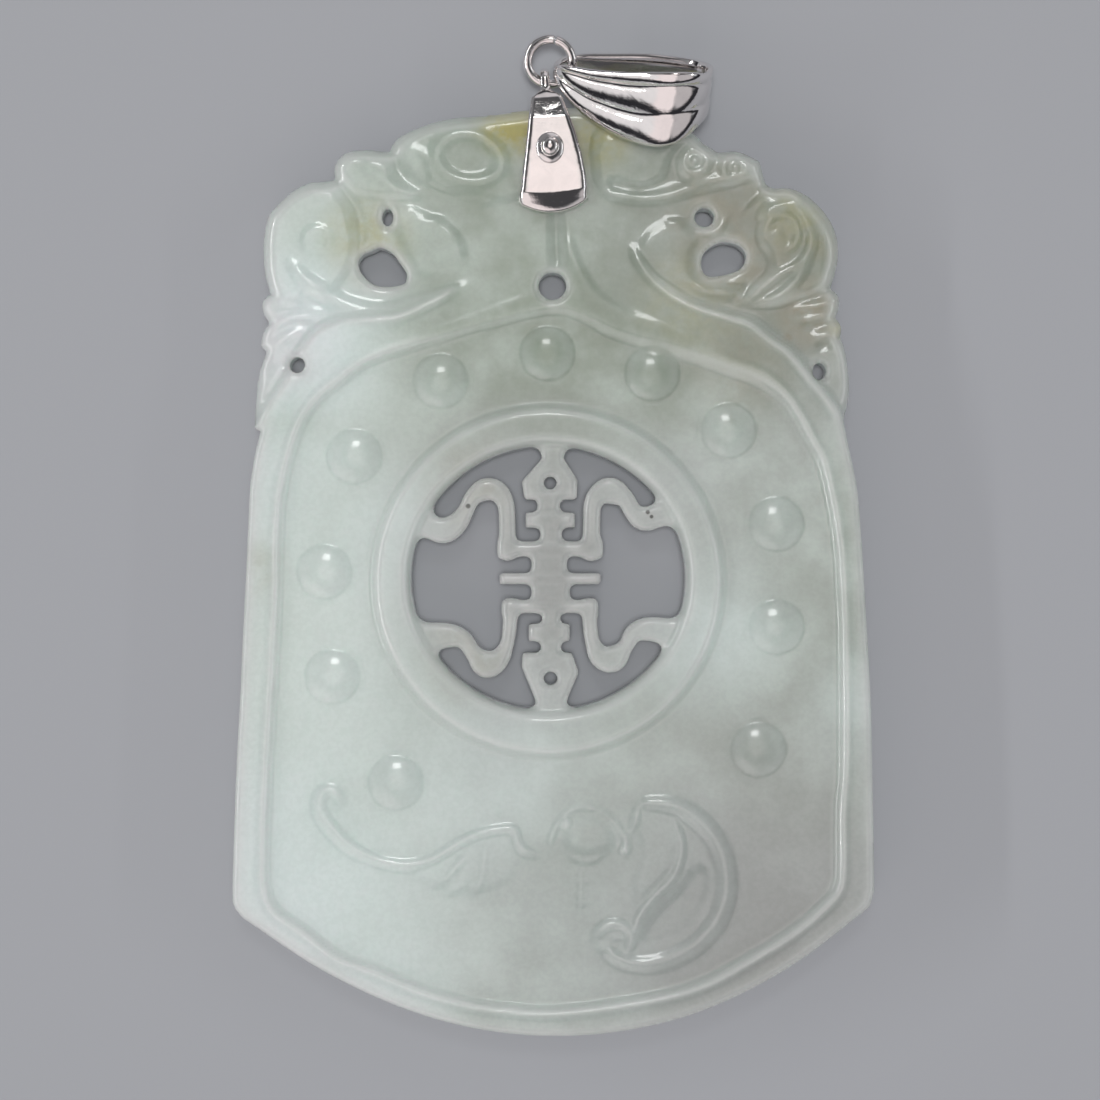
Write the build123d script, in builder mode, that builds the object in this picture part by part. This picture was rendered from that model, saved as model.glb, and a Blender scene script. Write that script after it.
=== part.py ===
"""A carved jadeite tablet with a white-metal clip, jump ring and ribbed bail, lying face up.

Millimetres and degrees. +X is to the right of the face, +Y towards the bail, +Z out of the face.
"""

from build123d import *
import math
import os

os.makedirs("parts", exist_ok=True)

# Driving sizes of the tablet
plaque_width = 42.9
plaque_height = 62.1
plaque_thickness = 4.4
field_depth = 0.6
crest_depth = 0.65
relief_height = 0.35
edge_chamfer = 0.3
boss_radius = 1.85
boss_height = 0.5
centre_hole_radius = 0.93

# Driving sizes of the medallion
medallion_radius = 11.7
medallion_bevel = 0.4
fret_half_width = 9.15
fret_half_height = 8.85
fret_land = 0.55
fret_depth = 0.45
fret_eye_radius = 0.45

# Driving sizes of the clip and its pin
clip_strip = 0.4
clip_foot_width = 4.6
clip_head_width = 2.0
clip_eye_width = 0.8
clip_head_rise = 0.6134
clip_length_below_pin = 4.25
clip_foot_bow = 0.74
clip_flare = 0.4
clip_lip = 1.0
clip_top_gap = 0.42
clip_arch = 0.3
clip_bend = 0.6
clip_loop_flat = 0.02
clip_drop = 0.5
clip_lean = 4.0
clip_eye_radius = 0.44
pin_radius = 0.45
pin_head_radius = 0.93
pin_head_edge = 0.12
pin_head_height = 0.53

# Driving sizes of the jump ring and the bail
ring_wire_radius = 0.33
ring_radius = 1.5
ring_slit = 0.06
ring_swing = 13.0
ring_tilt = 15.0
bail_length = 11.0
bail_width = 5.4
bail_depth = 5.4
bail_wall = 0.75
bail_tip_wall = 0.42
bail_tip_radius = 1.5
bail_wall_from = 0.3
bail_lean = 5.0
bail_roll = 34.0
bail_rise = 18.0
bail_angle = -20.0

# Clearances
fit_gap = 0.05
clip_grip = 0.08
link_gap = 0.06
bail_slack = 0.38
bail_lift = 0.25

# Heights above the surface that the pendant lies on
back_z = clip_strip + clip_grip
front_z = back_z + plaque_thickness
field_z = front_z - field_depth
crest_z = front_z - crest_depth
plate_z = crest_z + clip_grip + clip_arch + clip_strip / 2
loop_radius = clip_eye_radius + clip_strip / 2
eye_z = plate_z - clip_drop - loop_radius

# Where the pin goes through, from the tablet's middle and its foot, as shares of its sizes
pin_across = -0.0054
pin_up = 0.954

# The clip clears the tablet's top, the ring hangs in its eye, and the bail on the ring, so their
# places follow from the pin
plate_up = (1 - pin_up) * plaque_height + clip_top_gap
clip_length_above_pin = plate_up + clip_head_rise
eye_up = clip_length_above_pin + clip_bend
eye_dx = -eye_up * math.sin(math.radians(clip_lean))
eye_dy = eye_up * math.cos(math.radians(clip_lean))
ring_lie = math.cos(math.radians(ring_tilt))
ring_dy = ring_radius * math.cos(math.radians(ring_swing)) * ring_lie
ring_reach = ring_radius * ring_lie + ring_wire_radius
overall_length = pin_up * plaque_height + eye_dy + ring_dy + ring_reach
foot_y = -overall_length / 2


def place(across, up):
    """The point at these shares of the tablet's width, from its middle, and height, from its foot."""
    return (across * plaque_width, foot_y + up * plaque_height)


pin_x, pin_y = place(pin_across, pin_up)
eye_x = pin_x + eye_dx
eye_y = pin_y + eye_dy

# Outline, as stretches that follow one another: (middle across, up), (end across, up)
apex = (0.0, 1.0)
foot = (0.0054, 0.0)
left_corner = (-0.4844, 0.127)
right_corner = (0.492, 0.138)
left_outline = [
    ((-0.138, 0.989), (-0.253, 0.958)),
    (None, (-0.256, 0.953)),
    ((-0.285, 0.955), (-0.313, 0.953)),
    ((-0.335, 0.946), (-0.343, 0.930)),
    (None, (-0.341, 0.922)),
    ((-0.383, 0.919), (-0.425, 0.899)),
    ((-0.4495, 0.8745), (-0.453, 0.844)),
    ((-0.451, 0.821), (-0.4425, 0.798)),
    ((-0.456, 0.787), (-0.444, 0.767)),
    ((-0.457, 0.748), (-0.449, 0.736)),
    ((-0.463, 0.700), (-0.466, 0.653)),
    (None, (-0.4565, 0.650)),
    ((-0.4705, 0.603), (-0.477, 0.533)),
    ((-0.485, 0.420), (-0.498, 0.197)),
    (None, (-0.5, 0.150)),
    ((-0.495, 0.136), left_corner),
]
right_outline = [
    ((0.138, 0.991), (0.234, 0.961)),
    (None, (0.257, 0.952)),
    ((0.290, 0.953), (0.310, 0.946)),
    ((0.323, 0.941), (0.326, 0.932)),
    (None, (0.332, 0.917)),
    ((0.383, 0.910), (0.427, 0.884)),
    ((0.446, 0.848), (0.433, 0.805)),
    ((0.448, 0.791), (0.441, 0.774)),
    ((0.451, 0.763), (0.449, 0.752)),
    ((0.463, 0.705), (0.4565, 0.671)),
    (None, (0.452, 0.664)),
    ((0.474, 0.587), (0.481, 0.5225)),
    ((0.494, 0.372), (0.5, 0.174)),
    ((0.498, 0.152), right_corner),
]

# The recessed field's edge, in the same form
field_top = (0.0, 0.781)
field_foot = (0.0054, 0.028)
field_left_corner = (-0.432, 0.134)
field_right_corner = (0.432, 0.148)
field_left = [
    ((-0.114, 0.762), (-0.228, 0.740)),
    ((-0.3165, 0.7145), (-0.390, 0.664)),
    ((-0.416, 0.617), (-0.427, 0.570)),
    ((-0.436, 0.383), (-0.450, 0.186)),
    ((-0.446, 0.151), field_left_corner),
]
field_right = [
    ((0.150, 0.756), (0.290, 0.725)),
    ((0.368, 0.679), (0.418, 0.6105)),
    ((0.441, 0.544), (0.450, 0.447)),
    ((0.452, 0.319), (0.447, 0.1835)),
    ((0.444, 0.162), field_right_corner),
]

# The lower edge of the carved crest, from the left side to the right, and places clear of the tablet
crest_line = [
    ((-0.370, 0.727), (-0.228, 0.781)),
    ((-0.115, 0.825), (0.0, 0.845)),
    ((0.130, 0.808), (0.228, 0.784)),
    ((0.370, 0.727), (0.47, 0.640)),
]
crest_left = (-0.47, 0.640)
clear_across = 0.6
clear_up = 1.05

# The bell below the crest's fins, whose edges are bevelled
bell_up = 0.645

# Drilled holes: across, up, half width and half height, the last two as shares of the tablet's width
centre_hole_up = 0.807
small_holes = [
    (-0.259, 0.881, 0.009, 0.014),
    (-0.400, 0.7215, 0.0125, 0.0125),
    (0.236, 0.881, 0.0155, 0.0155),
    (0.415, 0.715, 0.011, 0.0137),
]

# The two larger openings of the crest: across, up of each corner
crest_openings = [
    [
        (-0.3055, 0.832),
        (-0.269, 0.849),
        (-0.248, 0.840),
        (-0.228, 0.819),
        (-0.236, 0.806),
        (-0.283, 0.807),
    ],
    [
        (0.231, 0.823),
        (0.233, 0.837),
        (0.264, 0.855),
        (0.293, 0.852),
        (0.301, 0.838),
        (0.293, 0.825),
        (0.247, 0.8175),
    ],
]
opening_corner_radius = 0.35

# Bosses: across, up
bosses = [
    (-0.009, 0.734),
    (-0.176, 0.704),
    (0.154, 0.7125),
    (-0.310, 0.623),
    (0.273, 0.651),
    (-0.357, 0.4995),
    (0.348, 0.550),
    (-0.3445, 0.386),
    (0.348, 0.440),
    (-0.246, 0.2725),
    (0.320, 0.308),
]

# Relief leaves: start across, up; outer middle; end; inner middle
crest_leaves = [
    ((-0.394, 0.829), (-0.272, 0.772), (-0.142, 0.808), (-0.274, 0.791)),
    ((-0.242, 0.887), (-0.131, 0.870), (-0.195, 0.814), (-0.232, 0.845)),
    ((-0.300, 0.934), (-0.220, 0.925), (-0.083, 0.897), (-0.225, 0.902)),
    ((0.098, 0.926), (0.158, 0.898), (0.267, 0.919), (0.158, 0.911)),
    ((0.100, 0.922), (0.142, 0.915), (0.178, 0.937), (0.142, 0.924)),
    ((0.376, 0.894), (0.407, 0.855), (0.281, 0.787), (0.376, 0.832)),
    ((0.212, 0.874), (0.122, 0.855), (0.228, 0.791), (0.212, 0.832)),
    ((-0.385, 0.905), (-0.365, 0.909), (-0.345, 0.898), (-0.365, 0.900)),
    ((0.301, 0.883), (0.345, 0.910), (0.373, 0.893), (0.345, 0.893)),
]
crest_rings = [
    (-0.363, 0.855, 0.025, 0.014),
    (0.220, 0.941, 0.019, 0.010),
    (0.282, 0.9345, 0.019, 0.010),
    (0.354, 0.8625, 0.031, 0.020),
]
bat_leaves = [
    ((-0.366, 0.254), (-0.316, 0.188), (-0.176, 0.181), (-0.298, 0.214)),
    ((-0.239, 0.177), (-0.138, 0.220), (-0.021, 0.201), (-0.114, 0.188)),
    ((-0.128, 0.196), (-0.122, 0.165), (-0.094, 0.146), (-0.100, 0.180)),
    ((0.128, 0.251), (0.285, 0.164), (0.142, 0.071), (0.251, 0.162)),
    ((0.134, 0.249), (0.203, 0.195), (0.119, 0.117), (0.110, 0.185)),
    ((0.022, 0.188), (0.051, 0.165), (0.044, 0.142), (0.035, 0.165)),
]
bat_rings = [(0.096, 0.104, 0.026, 0.012), (-0.350, 0.248, 0.024, 0.010)]
bat_head = (0.052, 0.2135)
bat_head_radius = 1.8

# The medallion's middle, and its fret as shares of the fret's half width and half height
medallion_across = -0.0078
medallion_up = 0.4925
fret_bars = [
    (-0.047, 0.113, 0.895, 1.05),
    (-0.076, 0.084, 0.49, 0.60),
    (-0.164, 0.193, 0.383, 0.496),
    (-0.055, 0.098, 0.27, 0.39),
    (-0.353, 0.389, 0.165, 0.278),
    (-0.120, 0.135, 0.03, 0.17),
    (-0.353, 0.382, -0.045, 0.038),
    (-0.120, 0.156, -0.17, -0.04),
    (-0.324, 0.345, -0.263, -0.165),
    (-0.040, 0.084, -0.35, -0.26),
    (-0.142, 0.156, -0.474, -0.346),
    (-0.051, 0.091, -0.57, -0.47),
    (-0.084, 0.127, -1.05, -0.93),
]
fret_houses = [
    [(-0.047, 0.90), (0.113, 0.90), (0.2145, 0.737), (0.207, 0.594), (-0.171, 0.594), (-0.193, 0.729)],
    [(-0.185, -0.564), (0.171, -0.564), (0.222, -0.707), (0.127, -0.94), (-0.084, -0.94), (-0.193, -0.67)],
]
fret_eyes = [(0.0145, 0.718), (0.017, -0.756)]

# Arms of the fret, from the stem out to the medallion's ring: across, up, width
fret_arms = [
    [
        (-0.298, 0.165, 0.124),
        (-0.298, 0.586, 0.124),
        (-0.440, 0.684, 0.167),
        (-0.575, 0.594, 0.116),
        (-0.615, 0.489, 0.116),
        (-0.745, 0.361, 0.182),
        (-1.000, 0.450, 0.20),
    ],
    [
        (0.316, 0.165, 0.131),
        (0.316, 0.586, 0.131),
        (0.447, 0.662, 0.196),
        (0.571, 0.594, 0.124),
        (0.687, 0.466, 0.175),
        (0.960, 0.510, 0.19),
    ],
    [
        (-0.273, -0.195, 0.109),
        (-0.295, -0.504, 0.100),
        (-0.440, -0.662, 0.196),
        (-0.571, -0.549, 0.109),
        (-0.680, -0.436, 0.140),
        (-1.000, -0.480, 0.16),
    ],
    [
        (0.302, -0.195, 0.109),
        (0.310, -0.450, 0.109),
        (0.440, -0.617, 0.196),
        (0.585, -0.511, 0.105),
        (0.680, -0.387, 0.150),
        (1.000, -0.450, 0.17),
    ],
]

# The band round the bail's hoop: share of the bail's length, then the band's width and how far its
# middle lies off the hoop's own, as shares of the full width
front_band = [
    (0.0, 0.14, 0.0),
    (0.05, 0.24, 0.02),
    (0.09, 0.34, 0.02),
    (0.19, 0.53, -0.05),
    (0.31, 0.70, -0.10),
    (0.52, 0.90, -0.085),
    (0.71, 1.04, -0.03),
    (0.86, 1.02, 0.02),
    (1.0, 0.66, 0.06),
]
back_band = [
    (0.0, 0.14, 0.0),
    (0.05, 0.20, 0.0),
    (0.09, 0.26, -0.01),
    (0.19, 0.38, -0.04),
    (0.31, 0.48, -0.07),
    (0.52, 0.58, -0.08),
    (0.71, 0.58, -0.08),
    (0.86, 0.58, -0.05),
    (1.0, 0.66, 0.06),
]

# The bail's edges and the grooves between its ribs, as shares of the width there: across, depth
bail_grooves = [(-0.5, 0.05), (-0.10, 0.045), (0.31, 0.04), (0.5, 0.03)]


def trace_stretches(start, stretches):
    """Arcs, or lines where a stretch has no middle, from start through all the stretches."""
    here = start
    for middle, end in stretches:
        if middle is None:
            Line(place(*here), place(*end))
        else:
            ThreePointArc(place(*here), place(*middle), place(*end))
        here = end


def dome(radius, height, sink):
    """A low dome of that radius and height, whose round base goes down by sink."""
    crown = (radius**2 + height**2) / (2 * height)
    with BuildPart() as body:
        with BuildSketch(Plane.XZ):
            with BuildLine():
                Line((0, height), (0, -sink))
                Line((0, -sink), (radius, -sink))
                Line((radius, -sink), (radius, 0))
                RadiusArc((radius, 0), (0, height), -crown)
            make_face()
        revolve(axis=Axis.Z)
    return body.part


def leaves(rows):
    """Leaf shapes, each between two arcs."""
    for start, outer, end, inner in rows:
        with BuildLine() as rim:
            ThreePointArc(place(*start), place(*outer), place(*end))
            ThreePointArc(place(*end), place(*inner), place(*start))
        make_face(rim.edges())


def curls(rows):
    """Flat rings, which are the closed ends of the scrolls: across, up, outer and inner radius."""
    for across, up, outer, inner in rows:
        with BuildSketch(mode=Mode.PRIVATE) as curl:
            Circle(outer * plaque_width)
            Circle(inner * plaque_width, mode=Mode.SUBTRACT)
        with Locations(place(across, up)):
            add(curl.sketch)


def fret_point(across, up):
    """The point at these shares of the fret's half sizes, from the medallion's middle."""
    x, y = place(medallion_across, medallion_up)
    return (x + across * fret_half_width, y + up * fret_half_height)


def fret_arm(rows):
    """One arm of the fret: a round at each row, joined by straight strokes."""
    for across, up, width in rows:
        with Locations(fret_point(across, up)):
            Circle(width * fret_half_width / 2, mode=Mode.SUBTRACT)
    for (across, up, width), (next_across, next_up, next_width) in zip(rows, rows[1:]):
        x, y = fret_point(across, up)
        next_x, next_y = fret_point(next_across, next_up)
        length = math.hypot(next_x - x, next_y - y)
        angle = math.atan2(next_y - y, next_x - x)
        half = min(width, next_width) * fret_half_width / 2
        with Locations(((x + next_x) / 2, (y + next_y) / 2)):
            Rectangle(length, 2 * half, rotation=math.degrees(angle), mode=Mode.SUBTRACT)


# The openings of the medallion: its round window less the fret
with BuildSketch(Plane.XY) as fret_openings:
    with Locations(fret_point(0, 0)):
        Ellipse(fret_half_width, fret_half_height)
    for left, right, low, high in fret_bars:
        with Locations(fret_point((left + right) / 2, (low + high) / 2)):
            bar_width = (right - left) * fret_half_width
            bar_height = (high - low) * fret_half_height
            Rectangle(bar_width, bar_height, mode=Mode.SUBTRACT)
    for house in fret_houses:
        with BuildLine():
            Polyline([fret_point(*corner) for corner in house], close=True)
        make_face(mode=Mode.SUBTRACT)
    for arm in fret_arms:
        fret_arm(arm)
    for eye in fret_eyes:
        with Locations(fret_point(*eye)):
            Circle(fret_eye_radius)

# Carved jade tablet
with BuildPart() as plaque:
    with BuildSketch(Plane.XY.offset(back_z)):
        with BuildLine():
            trace_stretches(apex, left_outline)
            ThreePointArc(place(*left_corner), place(*foot), place(*right_corner))
            trace_stretches(apex, right_outline)
        make_face()
    extrude(amount=plaque_thickness)
    bell_top = place(0, bell_up)[1]
    for face in (plaque.faces().sort_by(Axis.Z)[-1], plaque.faces().sort_by(Axis.Z)[0]):
        chamfer(face.edges().filter_by(lambda edge: edge.center().Y < bell_top), edge_chamfer)

    with BuildSketch(Plane.XY.offset(front_z)):
        with BuildLine():
            trace_stretches(field_top, field_left)
            ThreePointArc(place(*field_left_corner), place(*field_foot), place(*field_right_corner))
            trace_stretches(field_top, field_right)
        make_face()
    extrude(amount=-field_depth, mode=Mode.SUBTRACT)

    with BuildSketch(Plane.XY.offset(front_z)):
        with BuildLine():
            trace_stretches(crest_left, crest_line)
            crest_right = crest_line[-1][1]
            clear_corners = [
                (clear_across, crest_right[1]),
                (clear_across, clear_up),
                (-clear_across, clear_up),
                (-clear_across, crest_left[1]),
            ]
            Polyline([place(*corner) for corner in [crest_right, *clear_corners, crest_left]])
        make_face()
    extrude(amount=-crest_depth, mode=Mode.SUBTRACT)

    with BuildSketch(Plane.XY.offset(crest_z - relief_height)):
        leaves(crest_leaves)
        curls(crest_rings)
    extrude(amount=2 * relief_height)
    with BuildSketch(Plane.XY.offset(field_z - relief_height)):
        leaves(bat_leaves)
        curls(bat_rings)
    extrude(amount=2 * relief_height)

    boss = dome(boss_radius, boss_height, field_depth)
    for boss_place in bosses:
        with Locations((*place(*boss_place), field_z)):
            add(boss)
    with Locations((*place(*bat_head), field_z)):
        add(dome(bat_head_radius, boss_height, field_depth))

    with Locations((*place(medallion_across, medallion_up), field_z - field_depth)):
        Cone(
            medallion_radius,
            medallion_radius - medallion_bevel,
            2 * field_depth,
            align=(Align.CENTER, Align.CENTER, Align.MIN),
        )
    with BuildSketch(Plane.XY.offset(front_z)):
        with Locations(fret_point(0, 0)):
            Ellipse(fret_half_width + fret_land, fret_half_height + fret_land)
    extrude(amount=-fret_depth, mode=Mode.SUBTRACT)
    with BuildSketch(Plane.XY.offset(back_z)):
        add(fret_openings.sketch)
    extrude(amount=plaque_thickness, mode=Mode.SUBTRACT)

    with BuildSketch(Plane.XY.offset(back_z)):
        with Locations(place(0.0, centre_hole_up)):
            Circle(centre_hole_radius)
        with Locations((pin_x, pin_y)):
            Circle(pin_radius + fit_gap)
        for across, up, half_width, half_height in small_holes:
            with Locations(place(across, up)):
                Ellipse(half_width * plaque_width, half_height * plaque_width)
        for corners in crest_openings:
            with BuildSketch(mode=Mode.PRIVATE) as opening:
                with BuildLine():
                    Polyline([place(*corner) for corner in corners], close=True)
                make_face()
                fillet(opening.vertices(), opening_corner_radius)
            add(opening.sketch)
    extrude(amount=plaque_thickness, mode=Mode.SUBTRACT)
plaque.part.label = "jade_plaque"

# The clip's own axes: origin on the pin, local Y up the clip
clip_turned = Plane.XY.rotated((0, 0, clip_lean))
clip_plane = Plane(origin=(pin_x, pin_y, 0), x_dir=clip_turned.x_dir, z_dir=clip_turned.z_dir)
clip_side = Plane(origin=clip_plane.origin, x_dir=clip_plane.y_dir, z_dir=clip_plane.x_dir)

# Centre line of the bent strip, seen from the side: along the clip, height
loop_top = eye_up + link_gap + loop_radius + ring_wire_radius / 2
clip_path = [
    (-clip_length_below_pin, clip_strip / 2),
    (plate_up, clip_strip / 2),
    (clip_length_above_pin, eye_z - loop_radius),
    (loop_top, eye_z - loop_radius),
    (loop_top, eye_z + loop_radius),
    (clip_length_above_pin, eye_z + loop_radius),
    (plate_up, plate_z),
    (-clip_length_below_pin + clip_lip, plate_z),
    (-clip_length_below_pin, plate_z - clip_arch),
]
loop_fillet = loop_radius - clip_loop_flat
clip_fillets = [clip_bend, clip_bend, loop_fillet, loop_fillet, clip_bend, clip_bend, clip_bend]

# Bent clip: the strip's side shape, cut to the clip's outline
with BuildPart() as clip:
    with BuildSketch(clip_side):
        with BuildLine():
            strip_line = FilletPolyline(clip_path, radius=clip_fillets)
            offset(strip_line, amount=clip_strip / 2, side=Side.BOTH)
        make_face()
    extrude(amount=clip_foot_width, both=True)
    with BuildSketch(clip_plane):
        with BuildLine():
            foot_left = (-clip_foot_width / 2, -clip_length_below_pin + clip_foot_bow)
            foot_right = (clip_foot_width / 2, -clip_length_below_pin + clip_foot_bow)
            head_left = (-clip_head_width / 2, clip_length_above_pin - clip_bend / 2)
            head_right = (clip_head_width / 2, clip_length_above_pin - clip_bend / 2)
            eye_left = (-clip_eye_width / 2, clip_length_above_pin)
            eye_right = (clip_eye_width / 2, clip_length_above_pin)
            top_left = (-clip_eye_width / 2, loop_top + clip_strip)
            top_right = (clip_eye_width / 2, loop_top + clip_strip)
            ThreePointArc(foot_left, (0, -clip_length_below_pin), foot_right)
            side_middle = ((foot_right[0] + head_right[0]) / 2 + clip_flare, (foot_right[1] + head_right[1]) / 2)
            ThreePointArc(foot_right, side_middle, head_right)
            Polyline(head_right, eye_right, top_right, top_left, eye_left, head_left, foot_left)
        make_face()
    extrude(amount=plate_z + clip_strip, mode=Mode.INTERSECT)
    with Locations(clip_plane):
        Hole(pin_radius + fit_gap)
clip.part.label = "clip"

# Rivet with a domed head
head_z = plate_z + clip_strip / 2 + fit_gap
with BuildPart() as pin:
    with BuildSketch(clip_plane):
        Circle(pin_radius)
    extrude(amount=head_z + pin_head_edge)
    with Locations((pin_x, pin_y, head_z + pin_head_edge)):
        add(dome(pin_head_radius, pin_head_height, pin_head_edge))
pin.part.label = "clip_pin"

# Jump ring of round wire, lying flat at the height of the clip's eye, with its cut ends at the top
hang_turn = Location((0, 0, 0), (0, 0, -ring_swing))
tilt_turn = Location((0, 0, 0), (ring_tilt, 0, 0))
ring_plane = Plane(Location((eye_x, eye_y, eye_z)) * hang_turn * tilt_turn * Location((0, ring_radius, 0)))
with BuildPart(ring_plane) as ring:
    Torus(ring_radius, ring_wire_radius)
    with Locations((0, ring_radius, 0)):
        Box(ring_slit, 4 * ring_wire_radius, 4 * ring_wire_radius, mode=Mode.SUBTRACT)
ring.part.label = "jump_ring"

# The bail's own axes: local X along it from tip to wide end, local Z out of its ribbed front
hook_x = ring_radius * math.cos(math.radians(bail_angle + ring_swing))
hook_y = ring_radius * math.sin(math.radians(bail_angle + ring_swing))
hook = ring_plane.from_local_coords((hook_x, hook_y, 0))
lean_turn = Location((0, 0, 0), (0, 0, -bail_lean))
roll_turn = Location((0, 0, 0), (bail_roll, 0, 0))
rise_turn = Location((0, 0, 0), (0, -bail_rise, 0))
bail_turned = Plane(lean_turn * roll_turn * rise_turn)
tip_back = bail_tip_wall + bail_slack + ring_wire_radius
bail_tip = hook - bail_turned.x_dir * tip_back + bail_turned.z_dir * bail_lift
bail_plane = Plane(origin=bail_tip, x_dir=bail_turned.x_dir, z_dir=bail_turned.z_dir)

# The hoop's outside is a small round at the tip and a large one at the wide end, with straight flanks
wide_radius = bail_depth / 2
centre_distance = bail_length - bail_tip_radius - wide_radius
flank_turn = 90 + math.degrees(math.asin((wide_radius - bail_tip_radius) / centre_distance))


def share_at(rows, along, column=1):
    """A column of rows at that place in the first, by straight lines between the rows."""
    for low, high in zip(rows, rows[1:]):
        if along <= high[0]:
            return low[column] + (high[column] - low[column]) * (along - low[0]) / (high[0] - low[0])
    return rows[-1][column]


def hoop_station(turn, slide):
    """A place on the hoop's outside: turn is its outward direction, slide its share of the flank."""
    cosine = math.cos(math.radians(turn))
    sine = math.sin(math.radians(turn))
    tip = (bail_tip_radius + bail_tip_radius * cosine, bail_tip_radius * sine)
    wide = (bail_length - wide_radius + wide_radius * cosine, wide_radius * sine)
    return (tip[0] + (wide[0] - tip[0]) * slide, tip[1] + (wide[1] - tip[1]) * slide, cosine, sine)


# Stations round half of the hoop: outward direction, share of the flank
stations = [(180, 0), (140, 0), (flank_turn, 0), (flank_turn, 0.35), (flank_turn, 0.7)]
stations += [(flank_turn, 1), (65, 1), (32, 1), (0, 1)]


def bail_section(turn, slide, side, band):
    """The band's section there, on the front (side 1) or back (side -1), with ribs outside."""
    along, out, cosine, sine = hoop_station(turn, slide)
    share = along / bail_length
    width = bail_width * share_at(band, share)
    middle = bail_width * share_at(band, share, 2)
    wall = share_at([(0.0, bail_tip_wall), (bail_wall_from, bail_wall), (1.0, bail_wall)], share)
    local = Plane(origin=(along, middle, side * out), x_dir=(0, 1, 0), z_dir=(side * sine, 0, -cosine))
    with BuildSketch(Plane(bail_plane * local)) as section:
        with BuildLine():
            grooves = [(across * width, -depth * width) for across, depth in bail_grooves]
            for low, high in zip(grooves, grooves[1:]):
                ThreePointArc(low, ((low[0] + high[0]) / 2, 0), high)
            Polyline(grooves[-1], (width / 2, -wall), (-width / 2, -wall), grooves[0])
        make_face()
    return section.sketch


# Ribbed bail, lofted as a front and a narrower back that meet at the tip and at the wide end
with BuildPart() as bail:
    loft([bail_section(turn, slide, 1, front_band) for turn, slide in stations])
    loft([bail_section(turn, slide, -1, back_band) for turn, slide in stations])
bail.part.label = "bail"

export_step(plaque.part, "parts/jade_plaque.step")
export_step(clip.part, "parts/clip.step")
export_step(pin.part, "parts/clip_pin.step")
export_step(ring.part, "parts/jump_ring.step")
export_step(bail.part, "parts/bail.step")
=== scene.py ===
"""Dresses the jadeite pendant: carved jade, polished metal and a plain pale studio.

Tables give places on the tablet in millimetres: across from its middle, and up from its foot.
A third column is a line's half width. Heights and depths are in millimetres too.
"""

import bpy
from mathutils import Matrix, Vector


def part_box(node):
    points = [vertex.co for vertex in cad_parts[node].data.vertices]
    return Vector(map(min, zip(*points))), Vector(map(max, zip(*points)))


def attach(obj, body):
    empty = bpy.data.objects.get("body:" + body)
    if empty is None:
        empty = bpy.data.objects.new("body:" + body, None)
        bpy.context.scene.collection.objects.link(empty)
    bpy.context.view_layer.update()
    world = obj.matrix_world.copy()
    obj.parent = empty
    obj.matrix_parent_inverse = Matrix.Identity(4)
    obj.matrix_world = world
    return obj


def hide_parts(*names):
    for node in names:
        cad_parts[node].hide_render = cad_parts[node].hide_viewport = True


bl_info = {
    "name": "Jadeite Pendant",
    "version": (1, 0, 0),
    "blender": (4, 5, 0),
    "location": "View3D > Sidebar > Pendant",
    "description": "Makes the carved jade, the polished metal and the studio of a jadeite pendant",
    "category": "Add Mesh",
}

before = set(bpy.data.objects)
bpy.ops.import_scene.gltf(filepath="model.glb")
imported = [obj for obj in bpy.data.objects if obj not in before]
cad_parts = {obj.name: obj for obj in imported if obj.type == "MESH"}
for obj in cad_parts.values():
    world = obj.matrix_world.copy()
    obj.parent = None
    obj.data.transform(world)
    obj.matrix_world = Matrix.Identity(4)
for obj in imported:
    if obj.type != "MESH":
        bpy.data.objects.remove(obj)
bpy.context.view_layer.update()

import math

import bmesh
import bpy
import numpy as np
from bpy.props import FloatProperty, FloatVectorProperty, PointerProperty
from mathutils import Matrix, Vector
from mathutils.geometry import delaunay_2d_cdt

jade_low, jade_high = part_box("jade_plaque")

# One millimetre in metres, and lengths in millimetres that stand for endless and for nought
MM = 0.001
FAR = 1e9
TINY = 1e-6

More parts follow.
